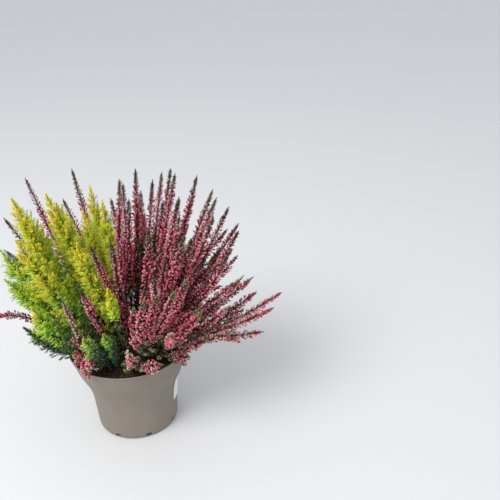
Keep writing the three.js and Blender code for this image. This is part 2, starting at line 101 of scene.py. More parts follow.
# Each pink spray: its spires' tips, the main stem's first, how many side spires grow by rule, its lift and,
# where the rule for feet doesn't place it, its foot.
PINK_SPRAYS = [
    ([(-116, 100, 262)], 1, 0.3),
    ([(-63, 105, 269), (-78, 100, 235)], 0, 0.3),
    ([(-130, 50, 235), (-130, 32, 205)], 0, 0.25),
    ([(10, 10, 290), (16, 12, 268)], 0, 0.2),
    ([(25, 20, 297)], 1, 0.2),
    ([(40, 28, 282), (25, 42, 265), (20, 54, 250)], 0, 0.2),
    ([(58, 36, 290)], 2, 0.3),
    ([(66, 8, 295)], 2, 0.3),
    ([(86, 28, 285)], 2, 0.3),
    ([(106, 2, 270)], 2, 0.3),
    ([(117, 34, 246)], 2, 0.3),
    ([(127, -14, 240)], 2, 0.3),
    ([(72, -30, 285)], 2, 0.3),
    ([(104, -34, 265)], 2, 0.3),
    ([(78, -62, 260)], 2, 0.3),
    ([(117, -42, 230)], 2, 0.3),
    ([(42, -40, 252)], 2, 0.3),
    ([(-15, -47, 245), (2, -37, 243)], 0, 0.15, (8, -22)),
    ([(-25, -68, 206)], 0, 0.1, (-13, -3)),
    ([(-46, -62, 198), (-34, -62, 114)], 0, -0.2, (-44, -33)),
    ([(-145, 0, 140)], 0, -2),
    ([(36, -78, 200)], 1, 0.3),
    ([(52, -92, 214), (68, -98, 222)], 0, 0.3),
    ([(80, -84, 225)], 1, 0.3),
    ([(92, -92, 196)], 1, 0.3),
    ([(116, -50, 175), (116, -66, 152)], 0, 0.3),
    ([(130, -8, 185), (140, 12, 172)], 0, 0.5),
    ([(170, 2, 157)], 1, 0.6),
    ([(160, -30, 158)], 1, 0.6),
    ([(15, -75, 138), (46, -66, 117)], 0, 0.2),
    ([(72, -50, 124), (94, -64, 146)], 0, 0.2),
    ([(126, 66, 212)], 2, 0.3),
    ([(98, 90, 245)], 2, 0.3),
    ([(72, 112, 226)], 2, 0.3),
    ([(42, 88, 268)], 2, 0.3),
    ([(8, 118, 225)], 2, 0.3),
    ([(0, 72, 262)], 2, 0.2),
    ([(-55, 112, 212)], 2, 0.3),
]
# Each golden plume, and each green shoot after them: its tip, its greatest radius, its lift.
GOLDEN_PLUMES = [
    ((-90, -20, 285), 16, 0.2),
    ((-80, -57, 258), 17, 0.2),
    ((-60, -10, 285), 17, 0.2),
    ((-30, 45, 270), 10, 0.2),
    ((-12, 15, 265), 11, 0.1),
    ((-28, -42, 245), 16, 0.2),
    ((-128, 18, 212), 15, 0.3),
    ((-112, -26, 200), 15, 0.3),
    ((0, -62, 205), 8, 0.1),
    ((-75, -66, 190), 15, 0.2),
    ((-92, 22, 240), 14, 0.3),
    ((-72, 24, 230), 13, 0.3),
    ((-82, 78, 228), 14, 0.3),
    ((-46, 60, 236), 13, 0.3),
]
GREEN_SHOOTS = [
    ((-96, -42, 152), 9, 0.2),
    ((-86, -36, 150), 9, -0.6),
    ((-30, -68, 152), 10, 0.2),
    ((-50, -20, 200), 11, 0.2),
    ((-12, -58, 150), 8, 0.2),
]

UP = np.array([0.0, 0.0, 1.0])
GOLDEN_ANGLE = 2.399963
TINY = 1e-9
STEM_SEED, CRUMB_SEED, LING_SEED, GOLDEN_SEED = 20261, 11, 100, 300


# ---------------------------------------------------------------- vectors and curves

def unit(vectors):
    """Each vector divided by its length."""
    return vectors / np.linalg.norm(vectors, axis=-1, keepdims=True)


def smoothstep(values, low, high):
    """0 below low, 1 above high, and x squared times (3 - 2x) between them."""
    x = np.clip((values - low) / (high - low), 0, 1)
    return x * x * (3 - 2 * x)


def bezier(a, b, c, d, count):
    """count points of the cubic Bezier curve with corners a, b, c and d, at equal steps of its parameter."""
    t = np.linspace(0, 1, count)[:, None]
    s = 1 - t
    return s ** 3 * a + 3 * s * s * t * b + 3 * s * t * t * c + t ** 3 * d


def on_curve(stations, t):
    """Points at shares t of a smooth line through the stations: between two of them the cubic whose slope at
    each is half the step from its one neighbour to its other (Catmull-Rom)."""
    ends = np.vstack([2 * stations[0] - stations[1], stations, 2 * stations[-1] - stations[-2]])
    last = len(stations) - 1
    x = np.clip(t, 0, 1) * last
    k = np.minimum(x.astype(int), last - 1)
    u = (x - k)[:, None]
    a, b, c, d = (ends[k + step] for step in range(4))
    square, cube = 2 * a - 5 * b + 4 * c - d, 3 * b - a - 3 * c + d
    return 0.5 * (2 * b + (c - a) * u + square * u ** 2 + cube * u ** 3)


class Branch:
    """A stem's middle line, measured by its length from the root, with the room round it. The length is
    summed over short chords."""

    FINE = np.linspace(0, 1, 241)
    HALF_STEP = 0.02

    def __init__(self, stations, room):
        self.stations = stations
        self.room = np.asarray(room, float)
        steps = np.diff(on_curve(stations, self.FINE), axis=0)
        self.run = np.concatenate([[0], np.cumsum(np.linalg.norm(steps, axis=1))])
        self.length = self.run[-1]
        chord = unit(stations[-1] - stations[0])
        away = UP if abs(chord[2]) < 0.9 else np.array([0.0, 1.0, 0.0])
        self.reference = unit(np.cross(away, chord))

    def share(self, at):
        """The curve's parameter at each length from the root."""
        return np.interp(at, self.run, self.FINE)

    def place(self, at):
        """The point of the line at each length from the root."""
        return on_curve(self.stations, self.share(at))

    def axis(self, at):
        """The unit direction of the line: the step from just below to just above each place."""
        t = self.share(at)
        ahead, behind = (on_curve(self.stations, t + step) for step in (self.HALF_STEP, -self.HALF_STEP))
        return unit(ahead - behind)

    def width(self, at):
        """Half the width that the spire or plume may take."""
        return np.interp(self.share(at), np.linspace(0, 1, len(self.room)), self.room)

    def across(self, axis):
        """Two unit directions square to the axis, which hold still as the line bends."""
        side = unit(self.reference - (axis @ self.reference)[:, None] * axis)
        return side, np.cross(axis, side)


# ---------------------------------------------------------------- where every stem runs

STATIONS = 12
LAST = STATIONS - 1
FORKS = (3, 4)
FREE_FROM = 5
BEND_ROUNDS = 60
STIFFEN_EVERY = 4
FARTHEST_MOVE = 1.5
STEM_GAP = 1.2
PLUME_GIVE = 0.8
SAMPLES = 61
SAMPLE_GAP = 0.9
ROOM_SHARE = 0.8
FOOT_EDGE = 55.0
FOOT_SPREAD = 66.0
FOOT_GAP = 8.5
FOOT_ROUNDS = 60


def park_miller(seed):
    """A repeatable stream of numbers from 0 to 1: each state is 16807 times the last, modulo 2^31 - 1."""
    state = seed
    while True:
        state = (state * 16807) % 2147483647
        yield state / 2147483647


def stem_feet(tips, given):
    """Where stems leave the soil: further out the more they lean, or where it is given for a stem. Then,
    round by round, each is pushed by a quarter of what it lacks to the least gap from every other."""
    tips = np.array(tips, float)
    out = np.hypot(tips[:, 0], tips[:, 1])
    lean = out / (tips[:, 2] - SOIL_TOP)
    radius = np.minimum(FOOT_EDGE, FOOT_SPREAD * lean / (lean + 0.8))
    feet = tips[:, :2] * (radius / out)[:, None]
    for stem, foot in given.items():
        feet[stem] = foot
    for _ in range(FOOT_ROUNDS):
        away = feet[:, None] - feet
        gap = np.linalg.norm(away, axis=2) + TINY
        push = 0.25 * np.maximum(FOOT_GAP - gap, 0) / gap
        np.fill_diagonal(push, 0)
        feet = feet + (away * push[..., None]).sum(1)
        feet *= np.minimum(1, FOOT_EDGE / np.linalg.norm(feet, axis=1))[:, None]
    return feet


def main_stem(foot, tip, lift):
    """A Bezier curve that rises from its foot, leans out towards its tip and lifts at the end."""
    start = np.array([foot[0], foot[1], SOIL_TOP + 1])
    end = np.array(tip, float)
    length = np.linalg.norm(end - start)
    straight = (end - start) / length
    rising = unit(0.7 * straight + 0.7 * UP)
    arriving = unit(straight + 1.2 * lift * UP)
    return bezier(start, start + rising * 0.25 * length, end - arriving * 0.35 * length, end, STATIONS)


def side_stem(main, fork, tip):
    """A Bezier curve that leaves the main stem at a fork and turns to run beside it."""
    start = main[fork]
    end = np.array(tip, float)
    length = np.linalg.norm(end - start)
    straight = (end - start) / length
    leaving = unit(straight + 0.35 * unit(main[fork + 1] - main[fork - 1]))
    arriving = unit(0.8 * straight + 0.7 * unit(main[LAST] - main[LAST - 2]))
    return bezier(start, start + leaving * 0.3 * length, end - arriving * 0.35 * length, end, STATIONS)


def ruled_tip(main, fork, order, turn, random):
    """A side spire's tip: off the main stem by a share of its length, a golden angle on from the last."""
    span = main[LAST] - main[fork]
    axis = unit(span)
    sideways = unit(np.cross(axis, UP))
    upwards = np.cross(sideways, axis)
    angle = GOLDEN_ANGLE * turn + 0.9 * next(random)
    reach = (0.2 + 0.08 * next(random)) * np.linalg.norm(span)
    return main[9 - order] + reach * math.cos(angle) * sideways + 0.8 * reach * math.sin(angle) * upwards


class Plan:
    """Arrays over all stems: node, parent, fork, radius, whether a plume, and the stations."""

    def __init__(self):
        self.rows = []
        self.paths = []

    def add(self, node, parent, fork, radius, plume, path):
        """Adds a stem; a main stem's parent is -1."""
        self.rows.append((node, parent, fork, radius, plume))
        self.paths.append(path)

    def freeze(self):
        """Turns the lists into arrays."""
        node, parent, fork, radius, plume = zip(*self.rows)
        self.node, self.parent, self.fork = np.array(node), np.array(parent), np.array(fork)
        self.radius, self.plume = np.array(radius, float), np.array(plume)
        self.paths = np.stack(self.paths)
        self.side = self.parent >= 0


def lay_stems():
    """Every stem of both plants before they press on each other."""
    random = park_miller(STEM_SEED)
    plumes = GOLDEN_PLUMES + GREEN_SHOOTS
    ends = [spray[0][0] for spray in PINK_SPRAYS] + [plume[0] for plume in plumes]
    feet = stem_feet(ends, {stem: spray[3] for stem, spray in enumerate(PINK_SPRAYS) if len(spray) > 3})
    plan, turn = Plan(), 0
    for node, (tips, more, lift, *_) in enumerate(PINK_SPRAYS):
        main = len(plan.rows)
        path = main_stem(feet[node], tips[0], lift)
        plan.add(node, -1, 0, SPIRE_RADIUS, False, path)
        for fork, tip in zip(FORKS, tips[1:]):
            plan.add(node, main, fork, SIDE_SPIRE_RADIUS, False, side_stem(path, fork, tip))
        for order in range(more):
            fork = FORKS[1 - order]
            tip = ruled_tip(path, fork, order, turn, random)
            plan.add(node, main, fork, SIDE_SPIRE_RADIUS, False, side_stem(path, fork, tip))
            turn += 1
    for order, (tip, radius, lift) in enumerate(plumes):
        node = len(PINK_SPRAYS) + order
        plan.add(node, -1, 0, radius, True, main_stem(feet[node], tip, lift))
    plan.freeze()
    return plan


def stem_girths(plan, count):
    """How thick each spire or plume is at count even shares of its length: it swells above its bare foot and
    narrows again to a blunt tip."""
    t = np.linspace(0, 1, count)[None]
    radius = plan.radius[:, None]
    swell = np.clip((t - 0.08) / 0.35, 0, 1) * np.clip((1.03 - t) / 0.3, 0.12, 1) ** 0.8
    plume = 2 + (radius - 2) * swell
    first = np.where(plan.side, 0.15, 0.22)[:, None]
    swell = np.clip((t - first) / 0.15, 0, 1) * np.clip((1.02 - t) / 0.25, 0.22, 1)
    spire = STEM_RADIUS + (radius - STEM_RADIUS) * swell
    return np.where(plan.plume[:, None], plume, spire)


def even_out(pushes):
    """Neighbours' pushes blended along each stem, a quarter, a half and a quarter; the foot's stays."""
    blended = pushes.copy()
    blended[:, 1:-1] = (pushes[:, :-2] + 2 * pushes[:, 1:-1] + pushes[:, 2:]) / 4
    blended[:, -1] = (pushes[:, -2] + 2 * pushes[:, -1]) / 3
    return blended


def distances(a, b):
    """The distance from each point of a to each point of b, by the cosine rule."""
    square = (a ** 2).sum(1)[:, None] + (b ** 2).sum(1) - 2 * a @ b.T
    return np.sqrt(np.maximum(square, 0))


def press(places, pressing, need):
    """For each station the sum of half its overlaps with others that press on it, to the farthest move."""
    gap = distances(places, places)
    here, there = np.nonzero(pressing & (gap < need))
    tight = gap[here, there]
    weight = 0.5 * (need[here, there] - tight) / (tight + TINY)
    push = np.zeros_like(places)
    np.add.at(push, here, (places[here] - places[there]) * weight[:, None])
    return push * np.minimum(1, FARTHEST_MOVE / (np.linalg.norm(push, axis=1) + TINY))[:, None]


def bend_clear(plan):
    """Stems that would cross are bent clear of each other, a little in every round: pushes are evened out
    along each stem, side spires are carried with their main stem, and all lie over the soil and the lip."""
    girths = stem_girths(plan, STATIONS) * np.where(plan.plume, PLUME_GIVE, 1)[:, None]
    count = len(plan.paths)
    station = np.tile(np.arange(STATIONS), count)
    stem = np.repeat(np.arange(count), STATIONS)
    node = plan.node[stem]
    beyond = station >= FREE_FROM
    pressing = (node[:, None] != node) | ((stem[:, None] != stem) & beyond[:, None] & beyond)
    need = girths.ravel()[:, None] + girths.ravel() + STEM_GAP
    t = np.linspace(0, 1, STATIONS)[None]
    free = np.where(plan.side[:, None], np.clip(1.3 * t, 0, 1), np.clip(2 * t - 0.05, 0, 1))[..., None]
    paths = plan.paths
    for turn in range(BEND_ROUNDS):
        moves = press(paths.reshape(-1, 3), pressing, need).reshape(paths.shape) * free
        for _ in range(3):
            moves = even_out(moves)
        moves = moves * free
        carried = np.where(plan.side[:, None], moves[plan.parent, plan.fork], 0)
        paths = paths + moves + carried[:, None]
        out = np.hypot(paths[..., 0], paths[..., 1])
        lowest = SOIL_TOP + (POT_HEIGHT - SOIL_TOP) * smoothstep(out, 50, 60) + girths + 1
        paths[:, 1:, 2] = np.maximum(paths[:, 1:, 2], lowest[:, 1:])
        if (turn + 1) % STIFFEN_EVERY == 0:
            paths[:, 2:LAST] = 0.5 * paths[:, 2:LAST] + 0.25 * (paths[:, 1:LAST - 1] + paths[:, 3:])
        slip = np.where(plan.side[:, None], paths[plan.parent, plan.fork] - paths[:, 0], 0)
        paths = paths + slip[:, None] * ((1 - t) ** 2)[..., None]
    return paths


def slim_where_tight(plan, paths):
    """The room round each stem at even samples: its girth, or its share of what is left to the nearest
    sample of another node less a gap."""
    t = np.linspace(0, 1, SAMPLES) * LAST
    low = np.minimum(t.astype(int), LAST - 1)
    share = t - low
    dots = paths[:, low] * (1 - share)[:, None] + paths[:, low + 1] * share[:, None]
    radius = stem_girths(plan, SAMPLES)
    others, node = radius.ravel(), np.repeat(plan.node, SAMPLES)
    rooms = np.empty_like(radius)
    for k, (places, own) in enumerate(zip(dots, radius)):
        gap = distances(places, dots.reshape(-1, 3)) - SAMPLE_GAP
        gap[:, node == plan.node[k]] = np.inf
        rooms[k] = np.minimum(own, (gap * own[:, None] / (own[:, None] + others)).min(1))
    return rooms


@functools.lru_cache(maxsize=1)
def grown_plants():
    """The plan of all stems and a Branch for each, worked out once. Where neighbours are tight, their fine
    ends mingle: each keeps at least a share of its girth."""
    plan = lay_stems()
    paths = bend_clear(plan)
    rooms = np.maximum(slim_where_tight(plan, paths), ROOM_SHARE * stem_girths(plan, SAMPLES))
    return plan, [Branch(path, room) for path, room in zip(paths, rooms)]


# ---------------------------------------------------------------- surfaces

# What a finish reads at each point, as a rule its own shade, how far along its shape it is, how ripe, how
# faded and how sunlit.
ATTRIBUTES = ("tint", "along", "age", "old", "sun")


class Growth:
    """Collects closed surfaces, each with its finish and its values, and puts them in one mesh."""

    def __init__(self):
        self.points, self.faces, self.slots = [], [], []
        self.values = {name: [] for name in ATTRIBUTES}
        self.count = 0

    def add(self, points, faces, slot, **values):
        """points (n, k, 3): n shapes of k corners; faces: index arrays within one shape; values: for each
        corner, shape or all of them."""
        shapes, corners = points.shape[:2]
        offsets = self.count + corners * np.arange(shapes)
        for face in faces:
            self.faces.append((offsets[:, None, None] + face).reshape(-1, face.shape[1]))
            self.slots.append(np.full(shapes * len(face), slot))
        self.points.append(points.reshape(-1, 3))
        for name in ATTRIBUTES:
            value = np.asarray(values.get(name, 0.0), float)
            value = value[:, None] if value.ndim == 1 else value
            self.values[name].append(np.broadcast_to(value, (shapes, corners)).ravel())
        self.count += shapes * corners

    def mesh(self, name):
        """One mesh of everything added, in metres, smooth shaded, with its values as point attributes."""
        points = np.concatenate(self.points) * MM
        loops = np.concatenate([face.ravel() for face in self.faces])
        sizes = np.concatenate([np.full(len(face), face.shape[1]) for face in self.faces])
        mesh = bpy.data.meshes.new(name)
        mesh.vertices.add(len(points))
        mesh.vertices.foreach_set("co", points.astype(np.float32).ravel())
        mesh.loops.add(len(loops))
        mesh.loops.foreach_set("vertex_index", loops.astype(np.int32))
        mesh.polygons.add(len(sizes))
        mesh.polygons.foreach_set("loop_start", (np.cumsum(sizes) - sizes).astype(np.int32))
        mesh.polygons.foreach_set("material_index", np.concatenate(self.slots).astype(np.int32))
        mesh.polygons.foreach_set("use_smooth", np.ones(len(sizes), bool))
        mesh.update(calc_edges=True)
        for attribute, parts in self.values.items():
            values = np.concatenate(parts).astype(np.float32)
            if values.any():
                mesh.attributes.new(attribute, "FLOAT", "POINT").data.foreach_set("value", values)
        mesh.validate()
        return mesh


def round_angles(sides):
    """Even angles once round."""
    return 2 * np.pi * np.arange(sides) / sides


def band(low, high, sides):
    """Quads between the ring of corners that starts at low and the one that starts at high."""
    ring = np.arange(sides)
    after = (ring + 1) % sides
    return np.stack([low + ring, low + after, high + after, high + ring], 1)


def fan(start, pole, sides, down=False):
    """Triangles between the ring of corners that starts at start and a pole, facing up or down."""
    ring = np.arange(sides)
    after = (ring + 1) % sides
    here, there, middle = start + ring, start + after, 0 * ring + pole
    return np.stack([middle, there, here] if down else [here, there, middle], 1)


def ring_faces(rows, sides):
    """Quads between neighbouring rings of corners, row by row."""
    return np.concatenate([band(row * sides, (row + 1) * sides, sides) for row in range(rows - 1)])


@functools.lru_cache(maxsize=None)
def tube_faces(rows, corners):
    """Quads between rings and triangles at the two end points of a closed tube; faces point outwards."""
    top = 1 + corners * rows
    caps = np.concatenate([fan(1, 0, corners, down=True), fan(top - corners, top, corners)])
    return [caps] if rows == 1 else [1 + ring_faces(rows, corners), caps]


def add_tubes(growth, centres, side, other, radii, corners, slot, flat=1.0, **values):
    """n closed tubes at once. centres (n, r, 3): each one's line, a point at both ends and a ring at each
    place between. A ring's corners stand at its radius along side cos + flat other sin."""
    shapes, rows = radii.shape
    angle = round_angles(corners)
    ring = np.cos(angle)[:, None] * side[:, :, None] + flat * np.sin(angle)[:, None] * other[:, :, None]
    rings = centres[:, 1:-1, None] + radii[:, :, None, None] * ring
    points = np.concatenate([centres[:, :1], rings.reshape(shapes, rows * corners, 3), centres[:, -1:]], 1)
    if "along" not in values:
        step = np.linalg.norm(np.diff(centres, axis=1), axis=2)
        run = np.concatenate([np.zeros((shapes, 1)), np.cumsum(step, 1)], 1)
        run /= run[:, -1:]
        values["along"] = np.concatenate([run[:, :1], np.repeat(run[:, 1:-1], corners, 1), run[:, -1:]], 1)
    growth.add(points, tube_faces(rows, corners), slot, **values)


def add_spindles(growth, roots, axes, side, lengths, shares, radii, corners, slot, flat=1.0, **values):
    """n straight spindles: rings at shares of the length with the given radii, and a point at each end."""
    at = np.concatenate([np.zeros((len(roots), 1)), shares, np.ones((len(roots), 1))], 1) * lengths[:, None]
    centres = roots[:, None] + at[..., None] * axes[:, None]
    rows = radii.shape[1]
    sides = np.repeat(side[:, None], rows, 1)
    others = np.repeat(np.cross(axes, side)[:, None], rows, 1)
    add_tubes(growth, centres, sides, others, radii, corners, slot, flat, **values)


def add_line(growth, branch, start, end, first, last, corners, step, slot, power=1.0, **values):
    """A stem from one length along a branch to another, its radius going from first to last."""
    rows = max(3, int((end - start) / step))
    at = np.linspace(start, end, rows)
    axis = branch.axis(at)
    side, other = branch.across(axis)
    share = np.linspace(0, 1, rows) ** power
    radii = (first + (last - first) * share)[None]
    places = branch.place(at)
    centres = np.concatenate([places[:1] - 0.3 * axis[:1], places, places[-1:] + 0.6 * axis[-1:]])[None]
    add_tubes(growth, centres, side[None], other[None], radii, corners, slot, **values)


def turned_out(axis, side, turn, angle):
    """Outward and leaning directions: out = side cos turn + (axis x side) sin turn, and
    lean = axis cos angle + out sin angle."""
    turn, angle = turn[:, None], angle[:, None]
    out = np.cos(turn) * side + np.sin(turn) * np.cross(axis, side)
    return out, np.cos(angle) * axis + np.sin(angle) * out


def leaning(branch, at, turn, angle):
    """The same two at places along a branch, from its axis and one side of it."""
    axis = branch.axis(at)
    return turned_out(axis, branch.across(axis)[0], turn, angle)


def shared_out(numbers):
    """For the number of children of each parent: every child's parent, and its order among its own."""
    parent = np.repeat(np.arange(len(numbers)), numbers)
    return parent, np.arange(len(parent)) - np.repeat(np.cumsum(numbers) - numbers, numbers)


def scatter(start, end, per_mm, random, thin=0.0, fade=1.0, chance=1.0):
    """Lengths from start to end, each moved by chance within its own step. Their number per mm falls by the
    share thin over the last stretch fade."""
    grid = np.linspace(start, end, 160)
    weight = per_mm * (1 - thin * (1 - smoothstep(end - grid, 0, fade)))
    total = np.concatenate([[0], np.cumsum(0.5 * (weight[1:] + weight[:-1]) * np.diff(grid))])
    count = max(1, int(total[-1]))
    moved = 0.5 + chance * (random.random(count) - 0.5)
    return np.interp((np.arange(count) + moved) / count * total[-1], total, grid)


KEEL_FACES = np.array([(0, 1, 3), (0, 3, 2), (0, 2, 1), (3, 1, 2)])


def add_keels(growth, roots, lean, out, lengths, widths, slot, **values):
    """Small keeled leaves, four triangles each: a kite, widest at 0.4 of its length, whose two edges lie
    further in than the keel from its root to its point."""
    side = unit(np.cross(lean, out))
    inward = np.cross(lean, side)
    middle = roots + (0.4 * lengths)[:, None] * lean + (0.22 * widths)[:, None] * inward
    half = (0.5 * widths)[:, None] * side
    points = np.stack([roots, middle + half, middle - half, roots + lengths[:, None] * lean], 1)
    growth.add(points, [KEEL_FACES], slot, along=np.array([[0, 0.4, 0.4, 1]]), **values)


def add_leaves(growth, branch, at, angle, length, width, base, slot, random, **values):
    """Scale leaves on a stem, a golden angle from one to the next round it."""
    count = len(at)
    turn = GOLDEN_ANGLE * np.arange(count) + random.normal(0, 0.25, count)
    out, lean = leaning(branch, at, turn, np.broadcast_to(angle, count) + random.normal(0, 0.12, count))
    lengths = length * random.uniform(0.75, 1.2, count)
    widths = width * random.uniform(0.8, 1.2, count)
    roots = branch.place(at) + np.broadcast_to(base, count)[:, None] * out
    add_keels(growth, roots, lean, out, lengths, widths, slot, tint=random.random(count), **values)


# ---------------------------------------------------------------- the ling's spires

BUDS, LEAVES, BARK = range(3)
# Sprays that grow in a way of their own, by their place in the list of pink sprays.
HANGING_SPRAY = 19
GAP_SPRAYS = (34, 35)
SHADED_SPRAYS = (0, 1, 2)
LATE_SPRAYS = (0, 1, 2, 16)
LONG_BARE_SPRAYS = (21, 22, 23, 24, 25, 26, 29, 30)
FRONT_SPRAYS = (HANGING_SPRAY, *LONG_BARE_SPRAYS)
OVER_THE_LIP = np.array([-0.8, -0.55, 0.0])
FAR_SIDE = 8.0
LING_MIDDLE = np.array([45.0, 38.0, 95.0])
LING_REACH = np.array([150.0, 100.0, 190.0])
SHADED_RIPE = -14.0
MAIN_STEM, SIDE_STEM = 1.25, 0.75
TWIG_RIPE = 30.0
# The least and the most from the stem to the point of a bud.
BUD_REACH = (2.4, 8.0)
NEVER_FADED = 2.0
FEW_CREAM = 0.03
TWIG_ROOM = 3.4
LEAFY_TWIG_ROOM = 2.0


def habit(node):
    """How a spray's buds differ from the rest: how much riper they are in mm, the share of its length beyond
    which they are cream, and the share of cream ones below it."""
    if node in SHADED_SPRAYS:
        return {"ripe": SHADED_RIPE}
    return {"faded": 0.5, "cream": 0.22} if node == HANGING_SPRAY else {}


def bud_light(place):
    """How much light reaches buds: more towards the outside of the ling, less on its far left and none in
    the hollow low in its middle."""
    x, y, z = place.T
    lit = smoothstep(np.linalg.norm((place - LING_MIDDLE) / LING_REACH, axis=1), 0.42, 0.82)
    lit *= 1 - 0.5 * smoothstep(-x, 60, 130)
    hollow = smoothstep(y, -58, -34) * (1 - smoothstep(y, 10, 40))
    hollow *= (1 - smoothstep(z, 165, 205)) * (1 - smoothstep(x, 70, 110))
    return lit * (1 - hollow)


def paler_and_lit_over_lip(place):
    """How much paler buds are where they hang over the front of the lip, most of all on the right: partly
    buds that are paler there, partly painted light that lifts them out of the plant's shade.
    """
    x, y, z = place.T
    rim = smoothstep(-z, -160, -125) * smoothstep(-y, 20, 50)
    return rim * (0.18 + 0.3 * smoothstep(x, 60, 95))


def add_buds(growth, branch, start, end, settings, random, fullness=1.0, ripe=0.0, faded=NEVER_FADED,
             cream=FEW_CREAM):
    """Closed buds on short stalks, in opposite pairs, each pair square to the last. Each is a spindle: thin
    where it is a stalk, widest past the middle of the bud. Towards the tip they shrink and thin out. Beyond
    the share faded of the branch most are cream, and so are more of them low on the right. High up the pairs
    are even, low down they are loose."""
    at = scatter(start, end, 0.5 * settings.buds_per_mm * fullness, random, 0.1, 30, 0.4).repeat(2)
    order = np.arange(len(at))
    count = len(at)
    place = branch.place(at)
    x, _, z = place.T
    below = branch.length - at + ripe + 40 * (1 - smoothstep(z, 140, 230))
    grown = 0.58 + 0.42 * smoothstep(below, 2, 30)
    loose = np.maximum(1 - smoothstep(z, 145, 225), 0.55 * smoothstep(x, 5, 40))
    turn = 0.5 * np.pi * (order // 2) + np.pi * (order % 2) + 0.03 * at + random.uniform(0, np.pi)
    turn += (0.18 + 0.6 * loose) * random.normal(0, 1, count)
    angle = np.radians(30 + 21 * grown) + (0.1 + 0.08 * loose) * random.normal(0, 1, count)
    out, lean = leaning(branch, at, turn, angle)
    taper = 0.6 + 0.4 * smoothstep(branch.length - at, 0, 20)
    reach = taper * (1.1 * np.maximum(branch.width(at), 2.3) + 0.3) * random.uniform(0.78, 1.08, count)
    reach = np.where(at > faded * branch.length, 0.75, 1) * reach
    length = np.clip(reach / np.sin(angle), *BUD_REACH)
    bud = np.minimum(settings.bud_length / MM * grown * random.uniform(0.85, 1.15, count), 0.92 * length)
    belly = 0.5 * settings.bud_width / MM * grown * random.uniform(0.85, 1.15, count)
    shares = np.stack([1 - bud / length, 1 - 0.48 * bud / length], 1)
    radii = np.stack([0.36 * belly, belly], 1)
    often = 0.13 * smoothstep(x, -30, 10) + 0.3 * smoothstep(x, 60, 110)
    often = cream + often * smoothstep(-z, -155, -105)
    often = np.where(at > faded * branch.length, 0.85, often)
    old = (random.random(count) < often) * random.uniform(0.5, 1, count)
    # Buds over the lip are lighter: partly paler buds, partly painted light.
    tint = np.clip(random.random(count) + random.normal(0, 0.16) + paler_and_lit_over_lip(place), 0, 1)
    corners = 4 if branch.stations[0][1] < FAR_SIDE else 3
    add_spindles(growth, place, lean, unit(np.cross(lean, out)), length, shares, radii, corners, BUDS,
                 tint=tint, age=np.clip(below / 60, 0, 1), old=old, sun=bud_light(place))


def add_leafy_tip(growth, branch, length, random, fresh=0.0):
    """A spire's green end: blunt scale leaves pressed to the stem, shorter and closer up to its point."""
    at = scatter(branch.length - length, branch.length - 0.6, 2.8, random)
    left = np.clip((branch.length - at) / length, 0, 1)
    add_leaves(growth, branch, at, np.radians(14) + 0.62 * left, (1 + 0.6 * fresh) * (1.5 + 1.5 * left),
               0.8 + 0.5 * left, 0.12 + 0.7 * left, LEAVES, random, age=1 - left, sun=fresh)


def dress_spire(growth, branch, start, settings, random, node):
    """Buds from start to just below the leafy tip, with small leaves between their stalks."""
    front = node in FRONT_SPRAYS
    tip = settings.tip_length / MM * random.uniform(0.75, 1.2) * (1.8 if front else 1)
    end = branch.length - 0.5 * tip
    add_buds(growth, branch, start, end, settings, random, **habit(node))
    add_leafy_tip(growth, branch, tip, random, fresh=float(front))
    at = scatter(start, end, 2.0, random)
    green = at > habit(node).get("faded", NEVER_FADED) * branch.length
    add_leaves(growth, branch, at, np.radians(44), 3.4 + 1.4 * green, 1.7, 0.5, LEAVES, random,
               old=1.0 - green, sun=0.6 * green)


def add_twig(growth, branch, at, turn, length, lean, room=TWIG_ROOM, corners=4, step=3):
    """A short side branch with its bark: a Bezier curve that leaves its parent at an angle and turns to run
    beside it. Returns its line."""
    spot = np.array([at])
    _, leave = leaning(branch, spot, np.array([turn]), np.array([lean]))
    _, run = leaning(branch, spot, np.array([turn]), np.array([0.4 * lean]))
    start = branch.place(spot)[0]
    end = start + length * unit(leave[0] + run[0])
    path = bezier(start, start + 0.4 * length * leave[0], end - 0.4 * length * run[0], end, 6)
    line = Branch(path, [room, room])
    add_line(growth, line, 0, line.length, 0.4, 0.25, corners, step, BARK)
    return line


def first_bud(branch, node, side):
    """How far up a stem its buds begin."""
    if node == HANGING_SPRAY:
        return 4.0
    if node in LATE_SPRAYS:
        return 0.5 * branch.length
    if node in LONG_BARE_SPRAYS and not side:
        return 0.34 * branch.length
    return branch.length * (0.13 if side else 0.24)


def dress_spray(growth, plan, branches, node, settings, random):
    """One spray: its woody stems, the budded spires, short budded twigs and leafy twigs low on the stem."""
    for index in np.flatnonzero(plan.node == node):
        branch, side = branches[index], plan.side[index]
        start = first_bud(branch, node, side)
        thick = SIDE_STEM if side else MAIN_STEM
        add_line(growth, branch, 0, branch.length, thick, 0.3, 5, 3.5, BARK, power=0.7, tint=random.random())
        if not side:
            add_foot(growth, branch, thick, BARK)
        dress_spire(growth, branch, start, settings, random, node)
        leafy = node in SHADED_SPRAYS
        low = scatter(6 if side else 8, start, 3.6 if leafy else 0.9, random)
        long, wide = (7.5, 1.9) if leafy else (2.6, 0.8)
        add_leaves(growth, branch, low, np.radians(42), long, wide, 0.8 * thick, LEAVES, random)
        if node not in LATE_SPRAYS:
            count = settings.twigs + (6 if node in FRONT_SPRAYS and not side else 0)
            count += (12 if side else 6) if node == HANGING_SPRAY else 0
            add_twigs(growth, branch, start, count, settings, random, habit(node).get("cream", FEW_CREAM))
        if node == HANGING_SPRAY and not side:
            add_lip_twigs(growth, branch, settings, random)
        if not side:
            add_leafy_twigs(growth, branch, node, settings, random)


def add_foot(growth, branch, thick, slot):
    """The stem's foot, from inside the compost up to its first station."""
    foot = branch.stations[0]
    low = foot - [0, 0, 9]
    line = Branch(np.stack([low, 0.5 * (low + foot), foot + [0, 0, 0.6]]), [1, 1])
    add_line(growth, line, 0, line.length, 1.25 * thick, thick, 5, 3, slot)


